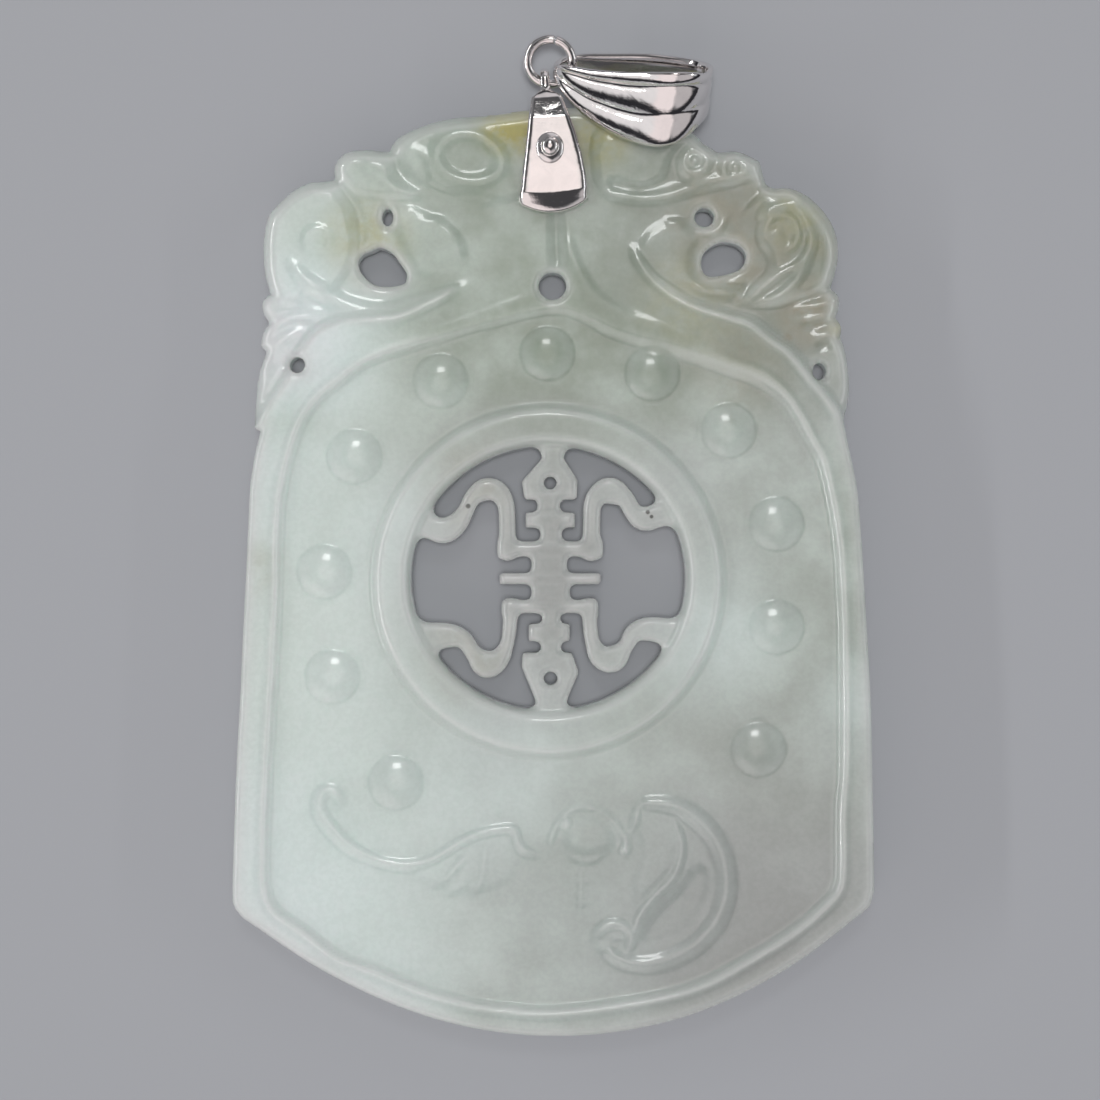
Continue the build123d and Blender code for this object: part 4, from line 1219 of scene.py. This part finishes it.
class Finish:
    """One material, and short ways to add its nodes. Places are in millimetres on the tablet."""

    def __init__(self, name):
        self.material = bpy.data.materials.new(name)
        self.material.use_nodes = True
        self.tree = self.material.node_tree
        self.shader = self.tree.nodes["Principled BSDF"]
        place = self.tree.nodes.new("ShaderNodeTexCoord").outputs["Object"]
        self.place = self.vector("MULTIPLY", place, (1 / MM,) * 3)
        self.flat = self.vector("MULTIPLY", place, (1 / MM, 1 / MM, 0))

    def feed(self, socket, value):
        """Joins a socket to another, or sets its value."""
        if isinstance(value, bpy.types.NodeSocket):
            self.tree.links.new(value, socket)
        else:
            socket.default_value = value

    def vector(self, operation, a, b):
        """A vector operation on a and b."""
        node = self.tree.nodes.new("ShaderNodeVectorMath")
        node.operation = operation
        self.feed(node.inputs[0], a)
        self.feed(node.inputs[1], b)
        return node.outputs["Value" if operation in ("DISTANCE", "LENGTH") else "Vector"]

    def math(self, operation, a, b):
        """An operation on the numbers a and b."""
        node = self.tree.nodes.new("ShaderNodeMath")
        node.operation = operation
        self.feed(node.inputs[0], a)
        self.feed(node.inputs[1], b)
        return node.outputs[0]

    def noise(self, size, detail=3.0, roughness=0.55, warp=0.0, stretch=(1, 1, 1), seed=0.0):
        """Cloudy noise whose forms are about size millimetres across."""
        place = self.vector("MULTIPLY", self.place, tuple(1 / s for s in stretch))
        place = self.vector("ADD", place, (seed, seed * 1.7, seed * 0.6))
        node = self.tree.nodes.new("ShaderNodeTexNoise")
        self.feed(node.inputs["Vector"], place)
        node.inputs["Scale"].default_value = 1 / size
        node.inputs["Detail"].default_value = detail
        node.inputs["Roughness"].default_value = roughness
        node.inputs["Distortion"].default_value = warp
        return node.outputs["Fac"]

    def span(self, value, low, high, to_low=0.0, to_high=1.0):
        """A smooth rise from to_low to to_high as value goes from low to high."""
        node = self.tree.nodes.new("ShaderNodeMapRange")
        node.interpolation_type = "SMOOTHSTEP"
        keys = ("Value", "From Min", "From Max", "To Min", "To Max")
        for key, number in zip(keys, (value, low, high, to_low, to_high)):
            self.feed(node.inputs[key], number)
        return node.outputs["Result"]

    def mix(self, share, a, b):
        """The colour a, with that share of the colour b."""
        node = self.tree.nodes.new("ShaderNodeMix")
        node.data_type = "RGBA"
        self.feed(node.inputs["Factor"], share)
        self.feed(node.inputs[6], a)
        self.feed(node.inputs[7], b)
        return node.outputs[2]

    def spot(self, across, up, size, soft, strength):
        """That strength within size of a place on the tablet, fading out past its soft share."""
        away = self.vector("DISTANCE", self.flat, (across, up + jade_low.y / MM, 0))
        return self.span(away, size * soft, size * (2 - soft), strength, 0.0)

    def spots(self, rows, soft=0.1):
        """The strongest of the spots in rows: across, up, size and strength."""
        share = None
        for across, up, size, strength in rows:
            here = self.spot(across, up, size, soft, strength)
            share = here if share is None else self.math("MAXIMUM", share, here)
        return share

    def rise(self, axis, start, end, to_low=0.0, to_high=1.0):
        """A smooth rise from start to end along that axis, in millimetres from the pendant's middle."""
        node = self.tree.nodes.new("ShaderNodeSeparateXYZ")
        self.feed(node.inputs[0], self.place)
        return self.span(node.outputs[axis], start, end, to_low, to_high)

    def gather(self, value):
        """The same value for all three of a colour's parts."""
        node = self.tree.nodes.new("ShaderNodeCombineXYZ")
        for socket in node.inputs:
            self.feed(socket, value)
        return node.outputs[0]

    def bump(self, height, depth, under=None):
        """Normals for relief that is depth millimetres deep, laid over the normals under."""
        node = self.tree.nodes.new("ShaderNodeBump")
        node.inputs["Distance"].default_value = depth * MM
        self.feed(node.inputs["Height"], height)
        if under is not None:
            self.feed(node.inputs["Normal"], under)
        return node.outputs["Normal"]

    def set(self, **values):
        """Sets the shader's sockets; an underscore stands for a space."""
        for key, value in values.items():
            self.feed(self.shader.inputs[key.replace("_", " ")], value)


# Stains, clouds and flecks of the jade, and patches of painted shade: across, up, size, strength
YELLOW_STAINS = [
    (-2.4, 61.7, 2.1, 1.7), (-12.4, 53.4, 2.2, 0.5), (3.0, 60.4, 1.9, 0.7), (19.2, 47.4, 0.6, 0.8),
    (16.6, 55.0, 2.2, 0.35), (9.0, 49.0, 2.6, 0.25),
]
BROWN_STAINS = [
    (-5.4, 36.6, 2.6, 0.3), (-5.6, 25.4, 2.4, 0.3), (11.2, 55.4, 3.2, 0.42), (12.2, 52.0, 3.4, 0.5),
    (17.2, 48.4, 2.0, 0.7), (15.6, 46.6, 0.4, 0.8), (-19.9, 31.5, 1.6, 0.3), (12.5, 45.0, 2.6, 0.3),
    (18.0, 53.0, 1.6, 0.3),
]
PALE_CLOUDS = [
    (-17.5, 46.5, 4.5, 0.95), (-19.5, 38, 5, 0.35), (-18.5, 10, 8, 0.6), (-14.0, 4.5, 6, 0.4),
    (9.6, 27.0, 4.5, 0.5), (-10.5, 33, 4, 0.3), (-4, 20, 9, 0.3), (20.5, 22, 3, 0.3), (4, 8, 7, 0.25),
]
# Painted shade: grey painted over the pierced medallion and down the right side, where the dark shows
# through the clearer jade
PAINTED_SHADE_PATCHES = [(-0.35, 30.6, 7.5, 0.7), (15, 5, 12, 0.75), (12, 54, 8, 0.35), (20, 46, 6, 0.4)]
DARK_FLECKS = [(-5.7, 35.4, 0.16, 0.85), (6.3, 35.0, 0.14, 0.85), (6.55, 34.7, 0.12, 0.85)]


def opaque(colour):
    """The colour with an alpha of 1."""
    return (*colour, 1)


def jade_finish(look):
    """Polished jadeite: cloudy, translucent, pale green to lavender, with iron stains near the top, grey
    painted shade, and pale painted light at its edges and steep slopes.
    """
    jade = Finish("jadeite")
    broad = jade.span(jade.noise(12.0, 1.0, 0.5), 0.3, 0.7)
    cloud = jade.span(jade.noise(4.5, 3.0, 0.55, seed=11.0), 0.35, 0.75)
    grain = jade.noise(0.35, 1.0, 0.6, seed=23.0)
    colour = jade.mix(jade.rise("Y", 3, 14), opaque(look.body), opaque(look.green))
    colour = jade.mix(jade.rise("X", -1, -17, 0.0, 0.85), colour, opaque(look.pale))
    colour = jade.mix(jade.math("MULTIPLY", broad, 0.4), colour, opaque(look.green))
    colour = jade.mix(jade.math("MULTIPLY", cloud, 0.4), colour, opaque(look.pale))
    colour = jade.mix(jade.spots(PALE_CLOUDS), colour, opaque(look.lavender))
    # Painted shade: grey mixed in over the medallion and the right side
    colour = jade.mix(jade.spots(PAINTED_SHADE_PATCHES), colour, opaque(look.grey))
    patchy = jade.span(jade.noise(1.4, 3.0, 0.6, seed=51.0), 0.3, 0.62, 0.4, 1.0)
    for stains, tint in ((BROWN_STAINS, look.brown), (YELLOW_STAINS, look.yellow)):
        colour = jade.mix(jade.math("MULTIPLY", jade.spots(stains), patchy), colour, opaque(tint))
    speckle = jade.span(grain, 0.3, 0.7, 0.97, 1.02)
    colour = jade.vector("MULTIPLY", colour, jade.gather(speckle))
    # Painted light: the pale edge colour is mixed in where the edge attribute is high, on edges, walls and
    # steep slopes
    edge = jade.tree.nodes.new("ShaderNodeAttribute")
    edge.attribute_name = "painted_edge_light"
    colour = jade.mix(jade.math("MULTIPLY", edge.outputs["Fac"], 0.9), colour, opaque(look.edge))
    colour = jade.mix(jade.spots(DARK_FLECKS, 0.6), colour, (0.03, 0.03, 0.025, 1))
    skin = jade.bump(jade.noise(2.4, 1.0, 0.5, seed=5.0), 0.02)
    jade.set(
        Base_Color=colour,
        Roughness=0.22,
        IOR=1.66,
        Transmission_Weight=look.clearness,
        Subsurface_Weight=1.0,
        Subsurface_Radius=(1.0, 1.1, 1.05),
        Subsurface_Scale=look.haze,
        Coat_Weight=0.45,
        Coat_Roughness=0.03,
        Coat_IOR=1.6,
        Normal=skin,
        Coat_Normal=skin,
    )
    return jade.material


def metal_finish(look):
    """Polished rhodium-white metal with faint wear."""
    metal = Finish("white_metal_polish")
    smear = metal.noise(1.6, 4.0, 0.6, 0.5)
    scratch = metal.noise(0.22, 3.0, 0.6, 0.0, (6.0, 0.5, 1.0), 9.0)
    duller = opaque(0.93 * part for part in look.colour)
    tint = metal.mix(metal.span(smear, 0.35, 0.7), opaque(look.colour), duller)
    metal.set(
        Base_Color=tint,
        Metallic=1.0,
        Roughness=metal.span(smear, 0.3, 0.75, look.polish, look.polish + 0.06),
        Normal=metal.bump(scratch, 0.0015, metal.bump(smear, 0.02)),
    )
    return metal.material


class PENDANT_PG_jade(bpy.types.PropertyGroup):
    """Sizes and colours of the carved tablet."""

    grid: FloatProperty(
        name="Grid", description="Spacing of the carved surface's points", default=0.0002, unit="LENGTH"
    )
    field_depth: FloatProperty(
        name="Field depth", description="How deep the field lies below the rim", default=0.0006,
        unit="LENGTH",
    )
    crest_depth: FloatProperty(
        name="Crest depth", description="How deep the crest's ground lies below the rim", default=0.00065,
        unit="LENGTH",
    )
    edge_round: FloatProperty(
        name="Edge round", description="Radius of the polished edge of the bell", default=0.0004,
        unit="LENGTH",
    )
    crest_round: FloatProperty(
        name="Crest round", description="Radius of the polished edge of the crest", default=0.0008,
        unit="LENGTH",
    )
    back_round: FloatProperty(
        name="Back round", description="Radius of the edges at the back", default=0.0003, unit="LENGTH"
    )
    boss_radius: FloatProperty(
        name="Boss radius", description="Radius of each domed boss", default=0.00183, unit="LENGTH"
    )
    boss_height: FloatProperty(
        name="Boss height", description="Height of each domed boss", default=0.00032, unit="LENGTH"
    )
    medallion_radius: FloatProperty(
        name="Medallion radius", description="Outer radius of the raised ring", default=0.01187,
        unit="LENGTH",
    )
    fret_depth: FloatProperty(
        name="Fret depth", description="How deep the fret lies below the ring", default=0.00045,
        unit="LENGTH",
    )
    relief: FloatProperty(
        name="Relief", description="Share of the tables' heights that is carved", default=0.62
    )
    bat_relief: FloatProperty(
        name="Bat relief", description="Share of the bat's heights that is carved", default=0.62
    )
    softness: FloatProperty(
        name="Softness", description="How far the relief's edges are worn", default=0.00014, unit="LENGTH"
    )
    haze: FloatProperty(
        name="Haze", description="How far light spreads inside the jade", default=0.003, unit="LENGTH"
    )
    clearness: FloatProperty(
        name="Clearness", description="Share of light that passes straight through", default=0.36,
        subtype="FACTOR",
    )
    body: FloatVectorProperty(
        name="Body", description="Main colour", default=(0.55, 0.6, 0.575), subtype="COLOR"
    )
    green: FloatVectorProperty(
        name="Green", description="Colour of the greener clouds", default=(0.335, 0.393, 0.315),
        subtype="COLOR",
    )
    pale: FloatVectorProperty(
        name="Pale", description="Colour of the white clouds", default=(0.78, 0.88, 0.835), subtype="COLOR"
    )
    # The colour of the painted light on thin edges, walls and steep slopes
    edge: FloatVectorProperty(
        name="Edge", description="Colour that the thin edges show", default=(0.85, 0.89, 0.86),
        subtype="COLOR",
    )
    lavender: FloatVectorProperty(
        name="Lavender", description="Colour of the lavender clouds", default=(0.85, 0.97, 0.96),
        subtype="COLOR",
    )
    # The colour of the painted shade patches
    grey: FloatVectorProperty(
        name="Grey", description="Colour of the greyer corner", default=(0.37, 0.375, 0.37), subtype="COLOR"
    )
    brown: FloatVectorProperty(
        name="Brown", description="Colour of the russet stains", default=(0.33, 0.28, 0.18), subtype="COLOR"
    )
    yellow: FloatVectorProperty(
        name="Yellow", description="Colour of the yellow stains", default=(0.44, 0.41, 0.12),
        subtype="COLOR",
    )


class PENDANT_PG_metal(bpy.types.PropertyGroup):
    """Finish of the metal parts."""

    colour: FloatVectorProperty(
        name="Colour", description="Colour of the metal", default=(0.9, 0.87, 0.86), subtype="COLOR"
    )
    polish: FloatProperty(
        name="Polish", description="Roughness of the metal", default=0.05, subtype="FACTOR"
    )
    clip_lean: FloatProperty(
        name="Clip lean", description="How far the clip leans to the left, in degrees", default=4.0
    )
    ring_radius: FloatProperty(
        name="Ring radius", description="Radius of the ring's middle line", default=0.0015, unit="LENGTH"
    )
    ring_wire: FloatProperty(
        name="Ring wire", description="Radius of the ring's wire", default=0.00033, unit="LENGTH"
    )
    ring_swing: FloatProperty(
        name="Ring swing", description="How far the ring has swung, in degrees", default=13.0
    )
    ring_tilt: FloatProperty(
        name="Ring tilt", description="How far the ring tips up, in degrees", default=15.0
    )
    rivet_lean: FloatProperty(
        name="Rivet lean", description="How far the rivet's end lies off its middle", default=0.00022,
        unit="LENGTH",
    )
    bail_tip: FloatVectorProperty(
        name="Bail tip", description="From the ring's middle to the bail's tip",
        default=(0.00027, -0.000345, -0.00014), unit="LENGTH",
    )
    bail_lean: FloatProperty(
        name="Bail lean", description="Turn of the bail in the floor's plane, in degrees", default=5.0
    )
    bail_roll: FloatProperty(
        name="Bail roll", description="Turn about its own length, in degrees", default=34.0
    )
    bail_rise: FloatProperty(
        name="Bail rise", description="How far its wide end is raised, in degrees", default=18.0
    )
    bail_length: FloatProperty(
        name="Bail length", description="From the tip to the wide end", default=0.011, unit="LENGTH"
    )
    bail_width: FloatProperty(
        name="Bail width", description="Greatest width of its ribbed face", default=0.0054, unit="LENGTH"
    )
    bail_depth: FloatProperty(
        name="Bail depth", description="From its front to its back", default=0.0054, unit="LENGTH"
    )
    bail_soft: FloatProperty(
        name="Bail softness", description="How far its bends are eased", default=0.0008, unit="LENGTH"
    )
    bail_wall: FloatProperty(
        name="Bail wall", description="Thickness of its metal", default=0.00042, unit="LENGTH"
    )


class PENDANT_PG_stage(bpy.types.PropertyGroup):
    """The floor, the lights and the camera."""

    floor_colour: FloatVectorProperty(
        name="Floor", description="Colour of the floor", default=(0.31, 0.32, 0.34), subtype="COLOR"
    )
    floor_size: FloatProperty(
        name="Floor size", description="Side of the square floor", default=3.0, unit="LENGTH"
    )
    camera_height: FloatProperty(
        name="Camera height", description="Distance from the carved face to the camera", default=0.25,
        unit="LENGTH",
    )
    view_width: FloatProperty(
        name="View width", description="Width of the view at the carved face", default=0.07333,
        unit="LENGTH",
    )
    view_across: FloatProperty(
        name="View across", description="Middle of the view, from the tablet's left side", default=0.02122,
        unit="LENGTH",
    )
    view_up: FloatProperty(
        name="View up", description="Middle of the view, from the tablet's foot", default=0.03247,
        unit="LENGTH",
    )
    key: FloatProperty(
        name="Key light", description="Power of the soft box above the bail", default=0.5, unit="POWER"
    )
    above: FloatProperty(
        name="Light above", description="Power of the light straight above", default=4.6, unit="POWER"
    )
    strips: FloatProperty(
        name="Strip lights", description="Power of the left strip; the right one has a quarter",
        default=0.7, unit="POWER",
    )
    fill: FloatProperty(
        name="Fill light", description="Strength of the pale studio round the pendant", default=0.8
    )


class PENDANT_OT_tablet(bpy.types.Operator):
    """Carve the jade tablet and polish it"""

    bl_idname = "pendant.tablet"
    bl_label = "Carved tablet"

    def execute(self, context):
        look = context.scene.pendant_jade
        piece = bpy.data.objects.new("carved_jade", jade_mesh(look))
        context.scene.collection.objects.link(piece)
        piece.data.materials.append(jade_finish(look))
        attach(piece, "root")
        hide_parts("jade_plaque")
        return {"FINISHED"}


def drilled(context, mesh):
    """The clip's mesh with the rivet's hole through both of its plates."""
    low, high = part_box("clip_pin")
    drill = bpy.data.meshes.new("drill")
    body = bmesh.new()
    bmesh.ops.create_cone(
        body, cap_ends=True, segments=48, radius1=RIVET_HOLE * MM, radius2=RIVET_HOLE * MM,
        depth=2 * (high.z - low.z), matrix=Matrix.Translation((low + high) / 2),
    )
    body.to_mesh(drill)
    body.free()
    pieces = [bpy.data.objects.new("drilling", part) for part in (mesh, drill)]
    for piece in pieces:
        context.scene.collection.objects.link(piece)
    cut = pieces[0].modifiers.new("hole", "BOOLEAN")
    cut.operation = "DIFFERENCE"
    cut.object = pieces[1]
    out = bpy.data.meshes.new_from_object(pieces[0].evaluated_get(context.evaluated_depsgraph_get()))
    name = mesh.name
    for piece in pieces:
        bpy.data.objects.remove(piece)
    for part in (mesh, drill):
        bpy.data.meshes.remove(part)
    out.name = name
    return out


def add_fitting(context, mesh, node):
    """Places a polished metal piece for that node of the solids."""
    piece = bpy.data.objects.new(mesh.name, mesh)
    context.scene.collection.objects.link(piece)
    finish = bpy.data.materials.get("white_metal_polish") or metal_finish(context.scene.pendant_metal)
    mesh.materials.append(finish)
    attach(piece, "root")
    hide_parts(node)


class PENDANT_OT_clip(bpy.types.Operator):
    """Fold the clip over the top of the tablet"""

    bl_idname = "pendant.clip"
    bl_label = "Folded clip"

    def execute(self, context):
        add_fitting(context, drilled(context, clip_mesh(context.scene.pendant_metal)), "clip")
        return {"FINISHED"}


class PENDANT_OT_rivet(bpy.types.Operator):
    """Set the domed rivet in the clip"""

    bl_idname = "pendant.rivet"
    bl_label = "Rivet"

    def execute(self, context):
        add_fitting(context, rivet_mesh(context.scene.pendant_metal), "clip_pin")
        return {"FINISHED"}


class PENDANT_OT_ring(bpy.types.Operator):
    """Hang the jump ring in the clip's eye"""

    bl_idname = "pendant.ring"
    bl_label = "Jump ring"

    def execute(self, context):
        add_fitting(context, ring_mesh(context.scene.pendant_metal), "jump_ring")
        return {"FINISHED"}


class PENDANT_OT_bail(bpy.types.Operator):
    """Hang the ribbed bail on the ring"""

    bl_idname = "pendant.bail"
    bl_label = "Ribbed bail"

    def execute(self, context):
        add_fitting(context, bail_mesh(context.scene.pendant_metal), "bail")
        return {"FINISHED"}


def softbox(name, place, aim, size, power, colour=(1, 1, 1)):
    """A rectangular area light at place that faces aim."""
    light = bpy.data.lights.new(name, "AREA")
    light.shape = "RECTANGLE"
    light.size, light.size_y = size
    light.energy = power
    light.color = colour
    piece = bpy.data.objects.new(name, light)
    piece.location = place
    piece.rotation_euler = (Vector(aim) - Vector(place)).to_track_quat("-Z", "Y").to_euler()
    bpy.context.scene.collection.objects.link(piece)
    return piece


# The room's colours, from the floor's level up to the zenith
ROOM = [
    (0.0, (0.06, 0.06, 0.065, 1)),
    (0.22, (0.1, 0.1, 0.105, 1)),
    (0.45, (0.3, 0.3, 0.31, 1)),
    (0.8, (0.26, 0.26, 0.27, 1)),
    (0.88, (0.07, 0.07, 0.075, 1)),
    (1.0, (0.07, 0.07, 0.075, 1)),
]

# The room's soft panels: direction, the cosines where each starts and is full, and colour
PANELS = [
    ((0.0, 0.0, 1.0), 0.955, 0.985, (1.2, 1.12, 1.1)),
    ((0.0, -0.02, 1.0), 0.985, 1.0, (1.3, 1.18, 1.16)),
    ((-0.42, -0.72, 0.55), 0.8, 0.88, (1.1, 1.0, 1.0)),
    ((0.2, 0.82, 0.5), 0.9, 0.95, (0.75, 0.72, 0.74)),
    ((0.9, -0.1, 0.4), 0.9, 0.95, (0.7, 0.72, 0.75)),
    ((0.45, -0.75, 0.5), 0.88, 0.95, (0.62, 0.59, 0.6)),
    ((-0.85, -0.45, 0.28), 0.9, 0.97, (1.02, 1.0, 1.01)),
]

# The dark belt above the floor: the heights where it starts and is full, and colour
BELT = (0.27, 0.15, (0.03, 0.03, 0.035))


def studio_world(strength):
    """A dim grey room with soft panels overhead and round the sides."""
    world = bpy.data.worlds.new("studio")
    world.use_nodes = True
    tree = world.node_tree
    direction = tree.nodes.new("ShaderNodeTexCoord").outputs["Generated"]
    parts = tree.nodes.new("ShaderNodeSeparateXYZ")
    tree.links.new(direction, parts.inputs[0])
    ramp = tree.nodes.new("ShaderNodeValToRGB")
    tree.links.new(parts.outputs["Z"], ramp.inputs[0])
    elements = ramp.color_ramp.elements
    elements[0].position, elements[0].color = ROOM[0]
    elements[1].position, elements[1].color = ROOM[-1]
    for position, colour in ROOM[1:-1]:
        elements.new(position).color = colour

    def laid_over(light, value, start, full, colour):
        """The light with that colour over it, from where value is start to where it is full."""
        share = tree.nodes.new("ShaderNodeMapRange")
        share.interpolation_type = "SMOOTHSTEP"
        tree.links.new(value, share.inputs["Value"])
        share.inputs["From Min"].default_value = start
        share.inputs["From Max"].default_value = full
        blend = tree.nodes.new("ShaderNodeMix")
        blend.data_type = "RGBA"
        tree.links.new(share.outputs["Result"], blend.inputs["Factor"])
        tree.links.new(light, blend.inputs[6])
        blend.inputs[7].default_value = opaque(colour)
        return blend.outputs[2]

    def facing(way):
        """How closely each direction faces that way, as a cosine."""
        dot = tree.nodes.new("ShaderNodeVectorMath")
        dot.operation = "DOT_PRODUCT"
        tree.links.new(direction, dot.inputs[0])
        dot.inputs[1].default_value = Vector(way).normalized()
        return dot.outputs["Value"]

    light = ramp.outputs[0]
    for way, start, full, colour in PANELS:
        light = laid_over(light, facing(way), start, full, colour)
    light = laid_over(light, parts.outputs["Z"], *BELT)
    back = tree.nodes["Background"]
    tree.links.new(light, back.inputs["Color"])
    back.inputs["Strength"].default_value = strength
    bpy.context.scene.world = world


class PENDANT_OT_stage(bpy.types.Operator):
    """Lay the pale floor, hang the soft lights and set the camera above the pendant"""

    bl_idname = "pendant.stage"
    bl_label = "Stage"

    def execute(self, context):
        stage = context.scene.pendant_stage
        mesh = bpy.data.meshes.new("floor")
        half = stage.floor_size / 2
        corners = [(-half, -half, 0), (half, -half, 0), (half, half, 0), (-half, half, 0)]
        mesh.from_pydata(corners, [], [(0, 1, 2, 3)])
        floor = bpy.data.objects.new("floor", mesh)
        context.scene.collection.objects.link(floor)
        paint = bpy.data.materials.new("floor_paint")
        paint.use_nodes = True
        shader = paint.node_tree.nodes["Principled BSDF"]
        shader.inputs["Base Color"].default_value = opaque(stage.floor_colour)
        shader.inputs["Roughness"].default_value = 0.6
        mesh.materials.append(paint)

        softbox("key", (-0.02, 0.31, 0.85), (0, 0, 0), (0.16, 0.12), stage.key)
        above = softbox("above", (0, 0, 0.9), (0, 0, 0), (0.12, 0.12), stage.above)
        above.visible_glossy = above.visible_transmission = False
        softbox("left_strip", (-0.5, 0.02, 0.26), (0, 0, 0), (0.5, 0.02), stage.strips)
        softbox("right_strip", (0.5, 0.0, 0.3), (0, 0, 0), (0.5, 0.02), stage.strips / 4)
        studio_world(stage.fill)

        data = bpy.data.cameras.new("camera")
        camera = bpy.data.objects.new("camera", data)
        context.scene.collection.objects.link(camera)
        across, up = jade_low.x + stage.view_across, jade_low.y + stage.view_up
        camera.location = (across, up, jade_high.z + stage.camera_height)
        data.sensor_width = 36
        data.lens = data.sensor_width * stage.camera_height / stage.view_width
        data.clip_start, data.clip_end = 0.01, 10
        context.scene.camera = camera
        context.scene.view_settings.view_transform = "Standard"
        return {"FINISHED"}


class PENDANT_PT_panel(bpy.types.Panel):
    """Lists the pendant's steps and settings"""

    bl_idname = "PENDANT_PT_panel"
    bl_label = "Jadeite Pendant"
    bl_space_type = "VIEW_3D"
    bl_region_type = "UI"
    bl_category = "Pendant"

    def draw(self, context):
        layout = self.layout
        for operator in OPERATORS:
            layout.operator(operator.bl_idname)
        for group in (context.scene.pendant_jade, context.scene.pendant_metal, context.scene.pendant_stage):
            box = layout.box()
            for name in group.bl_rna.properties.keys():
                if name not in ("rna_type", "name"):
                    box.prop(group, name)


OPERATORS = (
    PENDANT_OT_tablet,
    PENDANT_OT_clip,
    PENDANT_OT_rivet,
    PENDANT_OT_ring,
    PENDANT_OT_bail,
    PENDANT_OT_stage,
)
CLASSES = (PENDANT_PG_jade, PENDANT_PG_metal, PENDANT_PG_stage, *OPERATORS, PENDANT_PT_panel)


def register():
    """Adds the classes and the scene's settings."""
    for cls in CLASSES:
        bpy.utils.register_class(cls)
    bpy.types.Scene.pendant_jade = PointerProperty(type=PENDANT_PG_jade)
    bpy.types.Scene.pendant_metal = PointerProperty(type=PENDANT_PG_metal)
    bpy.types.Scene.pendant_stage = PointerProperty(type=PENDANT_PG_stage)


def unregister():
    """Takes them away again."""
    del bpy.types.Scene.pendant_stage
    del bpy.types.Scene.pendant_metal
    del bpy.types.Scene.pendant_jade
    for cls in reversed(CLASSES):
        bpy.utils.unregister_class(cls)


def main():
    """Builds the whole scene."""
    register()
    bpy.ops.pendant.tablet()
    bpy.ops.pendant.clip()
    bpy.ops.pendant.rivet()
    bpy.ops.pendant.ring()
    bpy.ops.pendant.bail()
    bpy.ops.pendant.stage()


if __name__ == "__main__":
    main()
